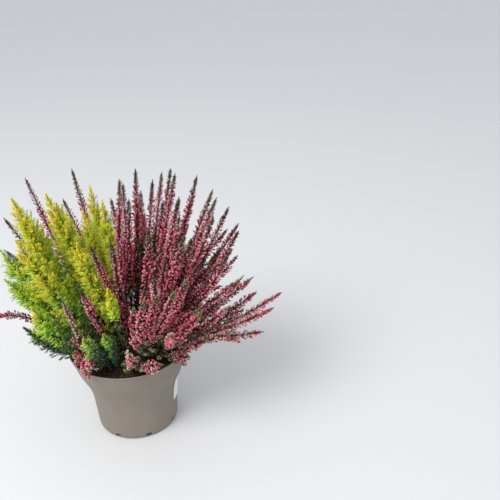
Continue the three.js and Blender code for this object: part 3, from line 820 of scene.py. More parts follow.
def add_twigs(growth, branch, start, count, settings, random, cream):
    """Short budded twigs on the lower part of a spire."""
    for _ in range(count):
        at = start + (0.5 * branch.length - start) * random.random()
        length = random.uniform(10, 24) * (1 - 0.6 * at / branch.length)
        line = add_twig(growth, branch, at, random.uniform(0, 2 * np.pi), length, random.uniform(0.5, 0.8))
        add_buds(growth, line, 3, line.length, settings, random, 0.8, TWIG_RIPE, cream=cream)
        add_leafy_tip(growth, line, 3.0, random)


def add_lip_twigs(growth, branch, settings, random):
    """Short budded twigs near a stem's foot that all reach the same way, out over the pot's lip."""
    for at in random.uniform(0.06, 0.26, settings.lip_twigs) * branch.length:
        side, other = branch.across(branch.axis(np.array([at])))
        turn = np.arctan2(other[0] @ OVER_THE_LIP, side[0] @ OVER_THE_LIP) + random.normal(0, 0.55)
        line = add_twig(growth, branch, at, turn, random.uniform(9, 17), random.uniform(0.9, 1.25))
        add_buds(growth, line, 2, line.length, settings, random, 0.9, TWIG_RIPE, cream=0.2)


def add_leafy_twigs(growth, branch, node, settings, random):
    """Short green twigs low on a main stem: more at the back of the plant, most between its halves."""
    behind = branch.stations[0][1] > FAR_SIDE
    share = 4.5 if node in GAP_SPRAYS else 1.75 if behind else 1.1
    bare = 0.6 if node in SHADED_SPRAYS or behind else 0.4
    for _ in range(int(settings.leafy_twigs * share)):
        at = random.uniform(0.06, bare) * branch.length
        line = add_twig(growth, branch, at, random.uniform(0, 2 * np.pi), random.uniform(10, 26),
                        random.uniform(0.6, 1.2), LEAFY_TWIG_ROOM, corners=3, step=5)
        spots = scatter(1.5, line.length, 1.9, random)
        add_leaves(growth, line, spots, np.radians(42), 3.4, 1.4, 0.3, LEAVES, random,
                   sun=0 if behind else 0.4)
        if not behind:
            add_buds(growth, line, 4, line.length, settings, random, 0.3, TWIG_RIPE, faded=0)


# ---------------------------------------------------------------- the golden heather's plumes

NEEDLES, SHOOT_BARK = range(2)
PLUME_STEM = 1.2
SHOOT_LIFT = 0.34
SHOOT_RADIUS = 0.22
TIP_SHARE = 0.4
# The shortest and the longest side shoot, and how much of a plume's end has none.
SHOOT_LENGTHS = (2.0, 24.0)
BARE_END = 7.0
# Plumes that grow in a way of their own, by their place in the list of golden plumes.
HALF_BARE_PLUME = 8
BUSHY_PLUMES = (6, 7, 10, 11)
# The way the light comes, and how much more of it the shoots on that side of a stem get.
SUNNY_SIDE = np.array([-0.7, -0.35, 0.62])
SIDE_LIGHT = 0.5
# How much less light the green shoots get than the plumes.
SHADED_SHOOTS = -0.39
# The share of side shoots that are long.
LONG_SHOOTS = 0.35
# The share of a plume's length where its side shoots begin, and of the plume that is half bare.
SHOOTS_FROM, HALF_BARE_FROM = 0.05, 0.68
BUSHY = 1.2


def dress_plume(growth, branch, first, settings, random, sunniness, bushy=1.0):
    """A feathery plume: side shoots all round the stem, each a golden angle on, leaning up it, with short
    twiglets on them and long leaves between them. Towards the end they shorten, and the stem's own needles
    make a blunt point."""
    add_line(growth, branch, 0, branch.length, PLUME_STEM, 0.35, 6, 3.5, SHOOT_BARK, power=0.8)
    add_foot(growth, branch, PLUME_STEM, SHOOT_BARK)
    at = scatter(first * branch.length, branch.length - BARE_END, bushy * settings.shoots_per_mm, random)
    count = len(at)
    share = at / branch.length
    turn = GOLDEN_ANGLE * np.arange(count) + random.normal(0, 0.35, count)
    angle = np.radians(38 + 24 * np.sqrt(1 - share)) + random.normal(0, 0.16, count)
    out, lean = leaning(branch, at, turn, angle)
    lobe = np.where(random.random(count) < LONG_SHOOTS, random.uniform(0.9, 1.12, count),
                    random.uniform(0.5, 0.85, count))
    low = 1 + bushy * settings.skirt * (1 - smoothstep(share, 0.15, 0.55))
    length = np.maximum(settings.fullness * low * branch.width(at), 3.0) * lobe / np.sin(angle)
    ahead = (branch.length - at) / (np.cos(angle) + SHOOT_LIFT)
    length = np.clip(np.minimum(length, TIP_SHARE * ahead), *SHOOT_LENGTHS)
    tone = sunniness + SIDE_LIGHT * (out * SUNNY_SIDE).sum(1) + random.normal(0, 0.05, count)
    shoots = [branch.place(at), lean, branch.axis(at), length, share, tone]
    add_shoots(growth, *shoots, settings, random, bare=0.22)
    add_shoots(growth, *twiglets(*shoots, settings, random), settings, random, bare=0)
    inner = scatter(0.9 * first * branch.length, 0.85 * branch.length, 5.0, random)
    reach = np.clip(0.95 * branch.width(inner), 4, 14.5)
    add_leaves(growth, branch, inner, np.radians(58), reach, 2.7, 0.6, NEEDLES, random,
               sun=0.1 + 0.5 * inner / branch.length + 0.5 * sunniness)
    spots = scatter(max(0.3, 0.9 * first) * branch.length, branch.length - 0.6, 2.0, random, -2.2, 26)
    tight = 0.55 + 0.45 * smoothstep(branch.length - spots, 0, 6)
    add_leaves(growth, branch, spots, np.radians(46) * tight, 3.0, settings.needle_width / MM, 0.35, NEEDLES,
               random, sun=sun_at(branch.place(spots), spots / branch.length, sunniness, 0.75))


def sun_at(places, share, tone, outward):
    """How much light a leaf gets: more with its height, up its plume and towards the end of its shoot, and
    less on the far left, where it is low most of all."""
    x, _, z = places.T
    level = 0.17 + 0.36 * smoothstep(share, 0.12, 0.64) + 0.36 * smoothstep(z, 110, 270) + 0.2 * outward
    level -= 0.5 * smoothstep(-x, 75, 120)
    level -= 0.66 * smoothstep(-z, -195, -130) * smoothstep(-x, 35, 70)
    return np.clip(level + tone, 0.02, 1)


def twiglets(place, lean, axis, length, share, tone, settings, random):
    """Short shoots on the side shoots, in the same terms: each leaves its shoot at about 45 degrees, a
    golden angle on from the last, and is shorter the nearer it is to the shoot's end."""
    number = np.maximum(0, (settings.twiglets_per_mm * (length - 3)).astype(int))
    shoot, order = shared_out(number)
    u = 0.28 + 0.62 * (order + random.random(len(shoot))) / number[shoot]
    root, along = on_shoots(place, lean, axis, length, shoot, u)
    across = unit(np.cross(along, axis[shoot] + 0.01))
    tilt = np.radians(46) + random.normal(0, 0.12, len(shoot))
    _, twiglet = turned_out(along, across, GOLDEN_ANGLE * order + 1.3 * shoot, tilt)
    reach = (2.2 + 5.0 * (1 - u)) * random.uniform(0.8, 1.25, len(shoot))
    return root, twiglet, along, reach, share[shoot], tone[shoot] + random.normal(0, 0.05, len(shoot))


def on_shoots(place, lean, axis, length, shoot, u):
    """The point at share u of each chosen shoot's line, place + u length lean + u squared lift axis, and
    its direction there."""
    reach = length[shoot, None]
    lift = SHOOT_LIFT * reach * axis[shoot]
    point = place[shoot] + u[:, None] * reach * lean[shoot] + (u ** 2)[:, None] * lift
    return point, unit(reach * lean[shoot] + 2 * u[:, None] * lift)


def add_shoots(growth, place, lean, axis, length, share, tone, settings, random, bare):
    """Shoots as thin curved tubes, and the needles round them beyond the share of each that is bare."""
    count = len(place)
    line = [on_shoots(place, lean, axis, length, np.arange(count), np.full(count, u))[0]
            for u in (0.0, 0.5, 1.0)]
    side = unit(np.cross(lean, axis))
    add_tubes(growth, np.stack(line, 1), side[:, None], np.cross(lean, side)[:, None],
              np.full((count, 1), SHOOT_RADIUS), 3, SHOOT_BARK, sun=sun_at(line[2], share, tone, 0.5))
    needles = np.maximum(5, (length * (1 - bare) * settings.needles_per_mm).astype(int))
    shoot, order = shared_out(needles)
    u = bare + (1 - bare) * (order + random.random(len(shoot))) / needles[shoot]
    root, along = on_shoots(place, lean, axis, length, shoot, u)
    across = unit(side[shoot] - (side[shoot] * along).sum(1, keepdims=True) * along)
    tilt = np.radians(62) * (1 - 0.42 * u ** 2) + random.normal(0, 0.16, len(shoot))
    out, needle = turned_out(along, across, GOLDEN_ANGLE * order + 2.1 * shoot, tilt)
    lengths = settings.needle_length / MM * (1 - 0.25 * u ** 3) * random.uniform(0.75, 1.15, len(shoot))
    widths = settings.needle_width / MM * random.uniform(0.8, 1.2, len(shoot))
    add_keels(growth, root, needle, out, lengths, widths, NEEDLES, tint=random.random(len(shoot)),
              sun=sun_at(root, share[shoot], tone[shoot], u))


# ---------------------------------------------------------------- pot, compost and label

LATTICE = 64


def lattice_noise(x, y, seed):
    """Smooth noise from -1 to 1: random numbers on a square lattice, blended between its corners by
    3t squared less 2t cubed."""
    table = np.random.default_rng(seed).uniform(-1, 1, (LATTICE, LATTICE))
    i, j = np.floor(x).astype(int), np.floor(y).astype(int)
    u, v = smoothstep(x - i, 0, 1), smoothstep(y - j, 0, 1)
    low, high = (table[i % LATTICE, row % LATTICE] * (1 - u) + table[(i + 1) % LATTICE, row % LATTICE] * u
                 for row in (j, j + 1))
    return low * (1 - v) + high * v


def pot_radius(height):
    """The pot's outer radius at a height: a smooth line through the outline's points."""
    knots = on_curve(POT_OUTLINE, np.linspace(0, 1, 400))
    return np.interp(height, knots[:, 1], knots[:, 0])


def turned(profile, angles):
    """Points (rows, angles, 3) of a profile of radii and heights carried round the axis."""
    radius, height = profile[:, :1], profile[:, 1:]
    return np.stack([radius * np.cos(angles), radius * np.sin(angles), height + 0 * angles], -1)


BEAD = 0.85


def pot_profiles():
    """The pot's outside from foot to lip, the round bead on its lip, and its inside down to the floor."""
    lip = np.radians(np.linspace(-40, 220, 12))
    body = np.concatenate([[0, 0.5, 1.4, SLOT_LOW, SLOT_HIGH], np.linspace(8, POT_HEIGHT - 1.2, 34)])
    outside = np.stack([pot_radius(body), body], 1)
    outside[0, 0] -= 0.4
    bead = np.stack([pot_radius(POT_HEIGHT) - BEAD + BEAD * np.cos(lip),
                     POT_HEIGHT - BEAD + BEAD * np.sin(lip)], 1)
    down = np.concatenate([np.linspace(POT_HEIGHT - 2.6, 8, 12), [SLOT_HIGH, SLOT_LOW]])
    inside = np.stack([pot_radius(down) - POT_WALL, down], 1)
    return outside, bead, inside


def slotted_columns(middles):
    """Which columns of the wall are cut away for a drain slot: those whose middle angle is less than half a
    slot's width from a slot's centre."""
    half = SLOT_WIDTH / 2 / pot_radius(SLOT_LOW)
    centres = round_angles(DRAIN_SLOTS) + np.pi / DRAIN_SLOTS
    off = np.abs((middles[:, None] - centres + np.pi) % (2 * np.pi) - np.pi)
    return (off < half).any(1)


def add_pot(growth, sides):
    """The grow pot: its profile carried round, with the drain slots cut through the wall at the bottom edge
    and their edges joined from the outer to the inner surface."""
    outside, bead, inside = pot_profiles()
    wall = np.concatenate([outside, bead, inside])
    angles = round_angles(sides)
    slotted = slotted_columns(angles + np.pi / sides)
    rows = len(wall)
    keep = np.ones((rows - 1, sides), bool)
    # The rows of faces between the slots' two heights, outside and inside.
    outer_row, inner_row = 3, rows - 2
    keep[outer_row, slotted] = False
    keep[inner_row, slotted] = False
    faces = [ring_faces(rows, sides)[keep.ravel()]]
    edge = np.flatnonzero(slotted)
    after = (edge + 1) % sides
    a, b = outer_row * sides, (outer_row + 1) * sides
    c, d = inner_row * sides, (inner_row + 1) * sides
    faces.append(np.stack([a + edge, a + after, d + after, d + edge], 1))
    faces.append(np.stack([b + after, b + edge, c + edge, c + after], 1))
    first = edge[~slotted[edge - 1]]
    last = after[~slotted[after]]
    faces.append(np.stack([a + first, d + first, c + first, b + first], 1))
    faces.append(np.stack([a + last, b + last, c + last, d + last], 1))
    floor_radius = inside[-1, 0] - 0.6
    flat = np.array([(floor_radius, POT_FLOOR), (0.5 * floor_radius, POT_FLOOR)])
    under = np.array([(0.5 * outside[0, 0], 0.0)])
    start = rows * sides
    rings = [turned(profile, angles).reshape(-1, 3) for profile in (wall, flat, under)]
    points = np.concatenate([*rings, [[0, 0, POT_FLOOR], [0, 0, 0]]])
    low = start + 2 * sides
    faces += [band(start - sides, start, sides), band(start, start + sides, sides), band(low, 0, sides)]
    top_pole, low_pole = low + sides, low + sides + 1
    caps = np.concatenate([fan(low - sides, top_pole, sides), fan(low, low_pole, sides, down=True)])
    growth.add(points[None], [np.concatenate(faces), caps], 0)


def add_compost(growth, relief):
    """The compost: a closed turned solid whose top is a polar grid raised by three sizes of noise."""
    sides = 120
    low = POT_FLOOR + FIT
    edge = SOIL_TOP - SOIL_RISE
    heights = np.concatenate([[low + 0.6], np.linspace(12, 86, 9), [edge - 1.5]])
    wall = np.stack([pot_radius(heights) - POT_WALL - FIT, heights], 1)
    wall[0, 0] -= 2.6
    top = np.linspace(wall[-1, 0] - 0.3, 1.2, 44)
    crown = np.stack([top, SOIL_TOP - SOIL_RISE * smoothstep(top, 25, 64)], 1)
    base = np.array([(0.5 * wall[0, 0], low), (wall[0, 0] - 1, low)])
    profile = np.concatenate([base, wall, crown])
    angles = round_angles(sides)
    points = turned(profile, angles)
    x, y = points[..., 0], points[..., 1]
    rough = sum(size * lattice_noise(x / pitch + 31, y / pitch + 31, seed)
                for size, pitch, seed in ((0.9, 9.0, 1), (0.75, 3.1, 2), (0.5, 1.4, 3)))
    rows = np.arange(len(profile))[:, None] >= len(base) + len(wall)
    points[..., 2] += np.where(rows, relief * rough * smoothstep(np.hypot(x, y), 66, 60), 0)
    middle = SOIL_TOP + 0.3
    points = np.concatenate([points.reshape(-1, 3), [[0, 0, low], [0, 0, middle]]])
    pole = len(profile) * sides
    caps = np.concatenate([fan(0, pole, sides, down=True), fan(pole - sides, pole + 1, sides)])
    growth.add(points[None], [ring_faces(len(profile), sides), caps], 0)


CRUMB_REACH = 61.5
FIBRE_SHARE = 0.16


def add_crumbs(growth, count, random):
    """Lumps and short fibres of peat lying on the compost, spread evenly over it: stubby five-sided spindles
    at any turn."""
    out = CRUMB_REACH * np.sqrt(random.random(count))
    around = random.uniform(0, 2 * np.pi, count)
    size = random.gamma(2.2, 0.42, count) + 0.45
    place = np.stack([out * np.cos(around), out * np.sin(around), SOIL_TOP - 0.6 + 0.5 * size], 1)
    place[:, 2] -= SOIL_RISE * smoothstep(out, 25, 64)
    axis = unit(random.normal(0, 1, (count, 3)) * [1, 1, 0.55])
    side = unit(np.cross(axis, random.normal(0, 1, (count, 3))))
    fibre = random.random(count) < FIBRE_SHARE
    length = np.where(fibre, random.uniform(3, 9, count), 1.9 * size)
    radius = np.where(fibre, 0.28, 0.62 * size)
    radii = radius[:, None] * random.uniform(0.7, 1.15, (count, 2))
    shares = np.tile([0.22, 0.74], (count, 1))
    add_spindles(growth, place - 0.5 * length[:, None] * axis, axis, side, length, shares, radii, 5, 0, 0.8,
                 tint=random.random(count), age=fibre * 1.0)


LABEL_UNDER, LABEL_OVER = FIT + 0.1, FIT + 0.4


def add_label(growth):
    """The label: a round-cornered sheet that follows the pot, from under it to over it, its rows running up
    the pot. Its values say how far up and how far across it a point is."""
    columns, rows = 24, 14
    low_angle, high_angle = np.radians(LABEL_ANGLES)
    low, high = LABEL_HEIGHTS
    u, v = np.meshgrid(np.linspace(-1, 1, columns + 1), np.linspace(-1, 1, rows + 1))
    width = (high_angle - low_angle) * 0.5 * pot_radius(0.5 * (low + high))
    height, corner = 0.5 * (high - low), 2.5
    x, z = round_corners(u * width, v * height, width, height, corner)
    z_at = 0.5 * (low + high) + z
    angle = 0.5 * (low_angle + high_angle) + x / width * 0.5 * (high_angle - low_angle)
    sheets = []
    for off in (LABEL_UNDER, LABEL_OVER):
        radius = pot_radius(z_at) + off
        sheets.append(np.stack([radius * np.cos(angle), radius * np.sin(angle), z_at], -1).reshape(-1, 3))
    grid = np.arange(u.size).reshape(u.shape)
    quads = np.stack([grid[:-1, :-1], grid[:-1, 1:], grid[1:, 1:], grid[1:, :-1]], -1).reshape(-1, 4)
    rim = np.concatenate([grid[0, :-1], grid[:-1, -1], grid[-1, :0:-1], grid[:0:-1, 0]])
    after = np.roll(rim, -1)
    edge = np.stack([rim, after, after + u.size, rim + u.size], 1)
    along = np.tile((0.5 + 0.5 * z / height).ravel(), 2)
    sun = np.tile((0.5 + 0.5 * x / width).ravel(), 2)
    growth.add(np.concatenate(sheets)[None], [quads[:, ::-1], quads + u.size, edge], 0, along=along[None],
               sun=sun[None])


def round_corners(x, z, width, height, corner):
    """Moves the grid of a rectangle so its corners are quarter circles: past the corner's middle in both
    directions, a place on the square's edge slides to the circle's."""
    dx, dz = np.abs(x) - (width - corner), np.abs(z) - (height - corner)
    beyond = (dx > 0) & (dz > 0)
    square = np.maximum(np.maximum(dx, dz), TINY)
    scale = np.where(beyond, square / np.maximum(np.hypot(dx, dz), TINY), 1)
    new_x = np.where(beyond, np.sign(x) * (width - corner + dx * scale), x)
    new_z = np.where(beyond, np.sign(z) * (height - corner + dz * scale), z)
    return new_x, new_z


# ---------------------------------------------------------------- shader expressions

class Signal:
    """A socket in a shader expression: its operators add Math nodes, or Vector Math for a vector."""

    def __init__(self, surface, socket, vector=False):
        self.surface, self.socket, self.vector = surface, socket, vector

    def math(self, operation, *values):
        """One Math node; for a vector a Vector Math node."""
        kind = "ShaderNodeVectorMath" if self.vector else "ShaderNodeMath"
        made = self.surface.node(kind, {"operation": operation}, dict(enumerate(values)))
        return Signal(self.surface, made.outputs[0], self.vector)

    def __add__(self, other):
        return self.math("ADD", self, other)

    def __sub__(self, other):
        return self.math("SUBTRACT", self, other)

    def __rsub__(self, other):
        return self.math("SUBTRACT", other, self)

    def __mul__(self, other):
        return self.math("MULTIPLY", self, other)

    __radd__, __rmul__ = __add__, __mul__

    def over(self, low, high):
        """0 below low and 1 above high, smoothly."""
        made = self.surface.node("ShaderNodeMapRange", {"interpolation_type": "SMOOTHSTEP"},
                                 {"Value": self, "From Min": low, "From Max": high})
        return Signal(self.surface, made.outputs[0])


class Surface:
    """A material being made: its tree, its main shader, and one method that adds any node."""

    def __init__(self, name, **constants):
        self.material = bpy.data.materials.new(name)
        self.material.use_nodes = True
        self.tree = self.material.node_tree
        self.shader = next(node for node in self.tree.nodes if node.type == "BSDF_PRINCIPLED")
        for socket, value in constants.items():
            self.shader.inputs[socket.replace("_", " ")].default_value = value

    def node(self, kind, settings, sockets):
        """Adds a node: its settings first, with a ramp's stops, then its sockets' values or links."""
        made = self.tree.nodes.new(kind)
        for key, value in settings.items():
            if key == "stops":
                set_stops(made.color_ramp, value)
            else:
                setattr(made, key, value)
        for key, value in sockets.items():
            self.feed(made.inputs[key], value)
        return made

    def feed(self, socket, value):
        """Links a signal to the socket, or sets its value."""
        if isinstance(value, Signal):
            self.tree.links.new(value.socket, socket)
        else:
            socket.default_value = value

    def attribute(self, name):
        """A value that the mesh keeps at each point."""
        return Signal(self, self.node("ShaderNodeAttribute", {"attribute_name": name}, {}).outputs["Fac"])

    def place(self):
        """The point on the object, as a vector, in metres."""
        return Signal(self, self.node("ShaderNodeTexCoord", {}, {}).outputs["Object"], True)

    def coordinate(self, letter):
        """X, Y or Z on the object, in metres."""
        made = self.node("ShaderNodeSeparateXYZ", {}, {"Vector": self.place()})
        return Signal(self, made.outputs[letter])

    def noise(self, scale, detail=3.0, stretch=(1, 1, 1)):
        """Smooth noise, scale lumps to the metre, drawn out where stretch is under 1."""
        sockets = {"Vector": self.place() * stretch, "Scale": scale, "Detail": detail}
        return Signal(self, self.node("ShaderNodeTexNoise", {}, sockets).outputs["Fac"])

    def ramp(self, factor, stops):
        """The colour that the stops have at the factor."""
        made = self.node("ShaderNodeValToRGB", {"stops": stops}, {"Fac": factor})
        return Signal(self, made.outputs["Color"], True)

    def mix(self, factor, a, b, blend="MIX"):
        """Colour a, going over to b with the factor."""
        factor_in, a_in, b_in, colour_out = 0, 6, 7, 2
        made = self.node("ShaderNodeMix", {"data_type": "RGBA", "blend_type": blend},
                         {factor_in: factor, a_in: shade(a), b_in: shade(b)})
        return Signal(self, made.outputs[colour_out], True)

    def bump(self, height, distance, strength=1.0):
        """Shades the surface as if it rose with a height, by the distance in metres at most."""
        made = self.node("ShaderNodeBump", {},
                         {"Height": height, "Distance": distance, "Strength": strength})
        self.tree.links.new(made.outputs["Normal"], self.shader.inputs["Normal"])

    def finish(self, **sockets):
        """Feeds the main shader and hands the material over."""
        for socket, value in sockets.items():
            self.feed(self.shader.inputs[socket.replace("_", " ")], value)
        return self.material


def shade(value):
    """A colour of three numbers with its alpha, and a signal as it is."""
    return value if isinstance(value, Signal) else (*tuple(value)[:3], 1.0)


def set_stops(ramp, stops):
    """The ramp's stops: position and colour, in order."""
    while len(ramp.elements) < len(stops):
        ramp.elements.new(1.0)
    for element, (position, colour) in zip(ramp.elements, stops):
        element.position = position
        element.color = shade(colour)


# ---------------------------------------------------------------- finishes

def bud_finish(settings):
    """Closed buds: crimson to pale pink by bud, with painted shade deep in the plant and in patches low
    down, purple and then brown the younger they are, cream when old, with pale points that are partly a
    painted highlight, and brown stalks."""
    s = Surface("ling_buds", Specular_IOR_Level=0.2)
    tint, along, age, old, lit = (s.attribute(name) for name in ("tint", "along", "age", "old", "sun"))
    pink = s.ramp(tint, [(0, settings.crimson), (0.42, settings.coral), (0.78, settings.rose),
                         (1, settings.pale)])
    pink = s.mix(1 - lit, pink, settings.shaded, "MULTIPLY")
    height = s.coordinate("Z")
    front = (s.coordinate("Y") * -5.0 + height * -3.2 + 1.15).over(0.15, 0.85)
    pink = s.mix(1 - front, pink, settings.plum, "MULTIPLY")
    # Painted shade: dark patches low in the plant, where the gaps between the spires lie in shadow.
    low = height.over(0.112, 0.135) * (1 - height.over(0.17, 0.24))
    patchy_painted_shade = (1 - s.noise(48.0, 1.0).over(0.4, 0.56)) * low * (1 - s.coordinate("X").over(0.07, 0.11))
    pink = s.mix(patchy_painted_shade * 0.65, pink, settings.shaded, "MULTIPLY")
    patch = s.noise(34.0, 2.0).over(0.42, 0.62)
    pink = s.mix(patch * 0.35, pink, settings.crimson)
    pink = s.mix(1 - age.over(0.2, 0.8), pink, settings.unripe)
    pink = s.mix(1 - age.over(0.14, 0.34), pink, settings.young)
    pink = s.mix(old, pink, settings.cream)
    # Pale bud points: partly the buds' own paler tips, partly a painted highlight.
    pale_tips_and_highlights = s.mix(along.over(0.68, 0.95) * (0.66 - 0.38 * age), pink, settings.pale)
    colour = s.mix(1 - along.over(0.18, 0.42), pale_tips_and_highlights, settings.stalk)
    return s.finish(Base_Color=colour, Roughness=0.42 + 0.2 * tint)


def ling_leaf_finish(settings):
    """Scale leaves of the ling: dark green to olive, reddish brown here and there."""
    s = Surface("ling_leaves", Specular_IOR_Level=0.2)
    tint, age, bract, fresh = (s.attribute(name) for name in ("tint", "age", "old", "sun"))
    green = s.ramp(tint, [(0, settings.leaf_dark), (0.6, settings.leaf), (1, settings.leaf_pale)])
    rusty = s.noise(55.0, 1.0).over(0.5, 0.68)
    green = s.mix(rusty * 0.5, green, settings.rust)
    green = s.mix(age * 0.35, green, settings.leaf_pale)
    green = s.mix(fresh * 0.85, green, settings.fresh)
    colour = s.mix(bract * 0.75, green, settings.bract)
    return s.finish(Base_Color=colour, Roughness=0.55 + 0.1 * tint)


def bark_finish(name, low, high):
    """Thin woody stems: two browns in streaks along them."""
    s = Surface(name, Specular_IOR_Level=0.3)
    streak = s.noise(420.0, 3.0, (1, 1, 0.25)).over(0.35, 0.65)
    colour = s.mix(streak, low, high)
    s.bump(streak, 0.0002, 0.6)
    return s.finish(Base_Color=colour, Roughness=0.75 + 0.1 * streak)


def needle_finish(settings):
    """The golden heather's needles: by how much sun they get from deep green through lime to yellow."""
    s = Surface("golden_needles", Specular_IOR_Level=0.15)
    tint, sun, along = s.attribute("tint"), s.attribute("sun"), s.attribute("along")
    patch = s.noise(28.0, 2.0)
    level = sun + 0.13 * (tint - 0.5) + 0.16 * (patch - 0.5) + 0.05 * along
    colour = s.ramp(level, [(0.05, settings.deep), (0.25, settings.green), (0.43, settings.lime),
                            (0.75, settings.yellow), (1.0, settings.gold)])
    return s.finish(Base_Color=colour, Roughness=0.5 + 0.12 * tint)


def shoot_finish(settings):
    """The golden heather's stems: olive brown low down, orange-red high up, yellower where it is sunny."""
    s = Surface("golden_stems", Specular_IOR_Level=0.35)
    sun = s.attribute("sun")
    height = s.coordinate("Z").over(0.16, 0.235)
    colour = s.mix(height, settings.wood, settings.flush)
    colour = s.mix(sun.over(0.5, 0.9) * 0.5, colour, settings.yellow)
    return s.finish(Base_Color=colour, Roughness=0.6 + 0.1 * s.noise(200.0))


def pot_finish(settings):
    """Matt grow-pot plastic: a fine grain, faint flow lines up the wall, dust and splashes near the lip."""
    s = Surface("grow_pot_plastic", Specular_IOR_Level=0.4)
    height = s.coordinate("Z")
    cloud = s.noise(16.0, 4.0)
    flow = s.noise(60.0, 3.0, (1, 1, 0.06))
    grain = s.noise(1400.0, 2.0)
    level = 0.5 * cloud + 0.3 * flow + 0.2 * grain
    colour = s.mix(level.over(0.3, 0.7), settings.dark, settings.plastic)
    dust = s.noise(90.0, 5.0).over(0.56, 0.74) * height.over(0.06, 0.099)
    colour = s.mix(dust * 0.28, colour, settings.dust)
    s.bump(0.6 * grain + 0.4 * flow, 0.00025, 0.5)
    return s.finish(Base_Color=colour, Roughness=0.5 + 0.16 * cloud)


def compost_finish(settings):
    """Moist peat: near black to brown in crumbs, with paler fibres."""
    s = Surface("compost", Specular_IOR_Level=0.25)
    tint, fibre = s.attribute("tint"), s.attribute("age")
    lump = s.noise(260.0, 5.0).over(0.3, 0.7)
    colour = s.mix(lump, settings.dark, settings.brown)
    colour = s.mix(tint * 0.35, colour, settings.brown)
    colour = s.mix(fibre * 0.7, colour, settings.fibre)
    s.bump(s.noise(700.0, 4.0), 0.0008, 0.9)
    return s.finish(Base_Color=colour, Roughness=0.85 + 0.1 * lump)


def label_finish(settings):
    """White label stock with a plain pale band near its top and a faint grain."""
    s = Surface("label_stock", Specular_IOR_Level=0.5)
    across, up = s.attribute("sun"), s.attribute("along")
    band = up.over(0.74, 0.745) * (1 - up.over(0.9, 0.905))
    inside = across.over(0.06, 0.065) * (1 - across.over(0.935, 0.94))
    fibre = s.noise(900.0, 3.0)
    colour = s.mix(fibre * 0.25, settings.paper, settings.grain)
    colour = s.mix(band * inside, colour, settings.band)
    return s.finish(Base_Color=colour, Roughness=0.38 + 0.1 * fibre)


# ---------------------------------------------------------------- settings a user may change

def colour(name, description, value):
    """A setting that holds a colour."""
    return FloatVectorProperty(name=name, description=description, subtype="COLOR", size=3, min=0, max=1,
                               default=value)


def length(name, description, value):
    """A setting that holds a length in metres."""
    return FloatProperty(name=name, description=description, default=value, min=0.0, unit="LENGTH",
                         precision=5)


def amount(name, description, value, least=0.0):
    """A setting that holds a plain number."""
    return FloatProperty(name=name, description=description, default=value, min=least)


def how_many(name, description, value, least=0):
    """A setting that holds a whole number."""
    return IntProperty(name=name, description=description, default=value, min=least)


class LingSettings(bpy.types.PropertyGroup):
    """The bud-blooming ling."""

    bud_length: length("Bud length", "From a bud's stalk to its point", 0.0034)
    bud_width: length("Bud width", "Across a bud at its widest", 0.0021)
    tip_length: length("Green tip", "Leafy length at the end of a spire", 0.009)
    buds_per_mm: amount("Buds per mm", "How densely buds sit along a spire", 1.75, 0.1)
    twigs: how_many("Twigs", "Short budded twigs on each spire", 4)
    lip_twigs: how_many("Lip twigs", "Budded twigs that hang over the lip", 12)
    leafy_twigs: how_many("Leafy twigs", "Green twigs low on each main stem", 12)
    crimson: colour("Crimson", "The darkest buds", (0.58, 0.024, 0.09))
    coral: colour("Coral", "Most buds", (0.84, 0.105, 0.195))
    rose: colour("Rose", "Lighter buds", (0.83, 0.25, 0.335))
    # Pale also colours the bud points, where it stands partly for a painted highlight.
    pale: colour("Pale", "Bud points and the lightest buds", (0.89, 0.62, 0.61))
    plum: colour("Plum", "Multiplies the buds at the back and at the top", (0.95, 0.80, 0.90))
    shaded: colour("Shaded", "Multiplies the buds deep in the plant", (0.36, 0.20, 0.26))
    unripe: colour("Unripe", "Buds above the middle of a spire", (0.19, 0.045, 0.075))
    young: colour("Young", "The newest buds, near a tip", (0.07, 0.05, 0.032))
    cream: colour("Cream", "Faded buds low in the plant", (0.54, 0.47, 0.34))
    stalk: colour("Stalk", "Bud stalks", (0.12, 0.03, 0.025))
    leaf_dark: colour("Dark leaf", "Scale leaves in the shade", (0.02, 0.034, 0.01))
    leaf: colour("Leaf", "Scale leaves", (0.055, 0.08, 0.02))
    leaf_pale: colour("Pale leaf", "The youngest scale leaves", (0.13, 0.18, 0.06))
    fresh: colour("Fresh leaf", "Leaves at the tips of the front sprays", (0.33, 0.43, 0.17))
    bract: colour("Bract", "Small leaves between the buds", (0.15, 0.045, 0.04))
    rust: colour("Rust", "Reddened leaves", (0.14, 0.06, 0.03))
    bark_dark: colour("Dark bark", "Woody stems", (0.05, 0.026, 0.016))
    bark: colour("Bark", "Woody stems, their lighter streaks", (0.13, 0.075, 0.045))


class GoldenSettings(bpy.types.PropertyGroup):
    """The golden-leaved heather."""

    fullness: amount("Fullness", "How far side shoots reach, as a share of a plume's room", 1.1, 0.1)
    skirt: amount("Skirt", "How much further the lowest side shoots reach", 0.45)
    shoots_per_mm: amount("Shoots per mm", "Side shoots along a plume", 0.8, 0.05)
    twiglets_per_mm: amount("Twiglets per mm", "Short shoots along a side shoot", 0.34)
    needles_per_mm: amount("Needles per mm", "Needles along a side shoot", 2.5, 0.1)
    needle_length: length("Needle length", "Of a needle", 0.0027)
    needle_width: length("Needle width", "Across a needle", 0.0011)
    deep: colour("Deep green", "Needles in the shade", (0.07, 0.118, 0.075))
    green: colour("Green", "Lower needles", (0.22, 0.375, 0.14))
    lime: colour("Lime", "Middle needles", (0.59, 0.92, 0.10))
    yellow: colour("Yellow", "Sunlit needles", (0.85, 0.90, 0.07))
    gold: colour("Gold", "The sunniest tips", (0.97, 0.87, 0.07))
    wood: colour("Wood", "Old stems", (0.10, 0.12, 0.035))
    flush: colour("Flush", "Young stems", (0.50, 0.13, 0.03))


class PotSettings(bpy.types.PropertyGroup):
    """The grow pot."""

    sides: how_many("Sides", "Faces round the pot", 96, 24)
    plastic: colour("Plastic", "Lighter tone of the plastic", (0.262, 0.226, 0.192))
    dark: colour("Dark plastic", "Darker tone of the plastic", (0.225, 0.195, 0.165))
    dust: colour("Dust", "Dried splashes", (0.12, 0.09, 0.07))


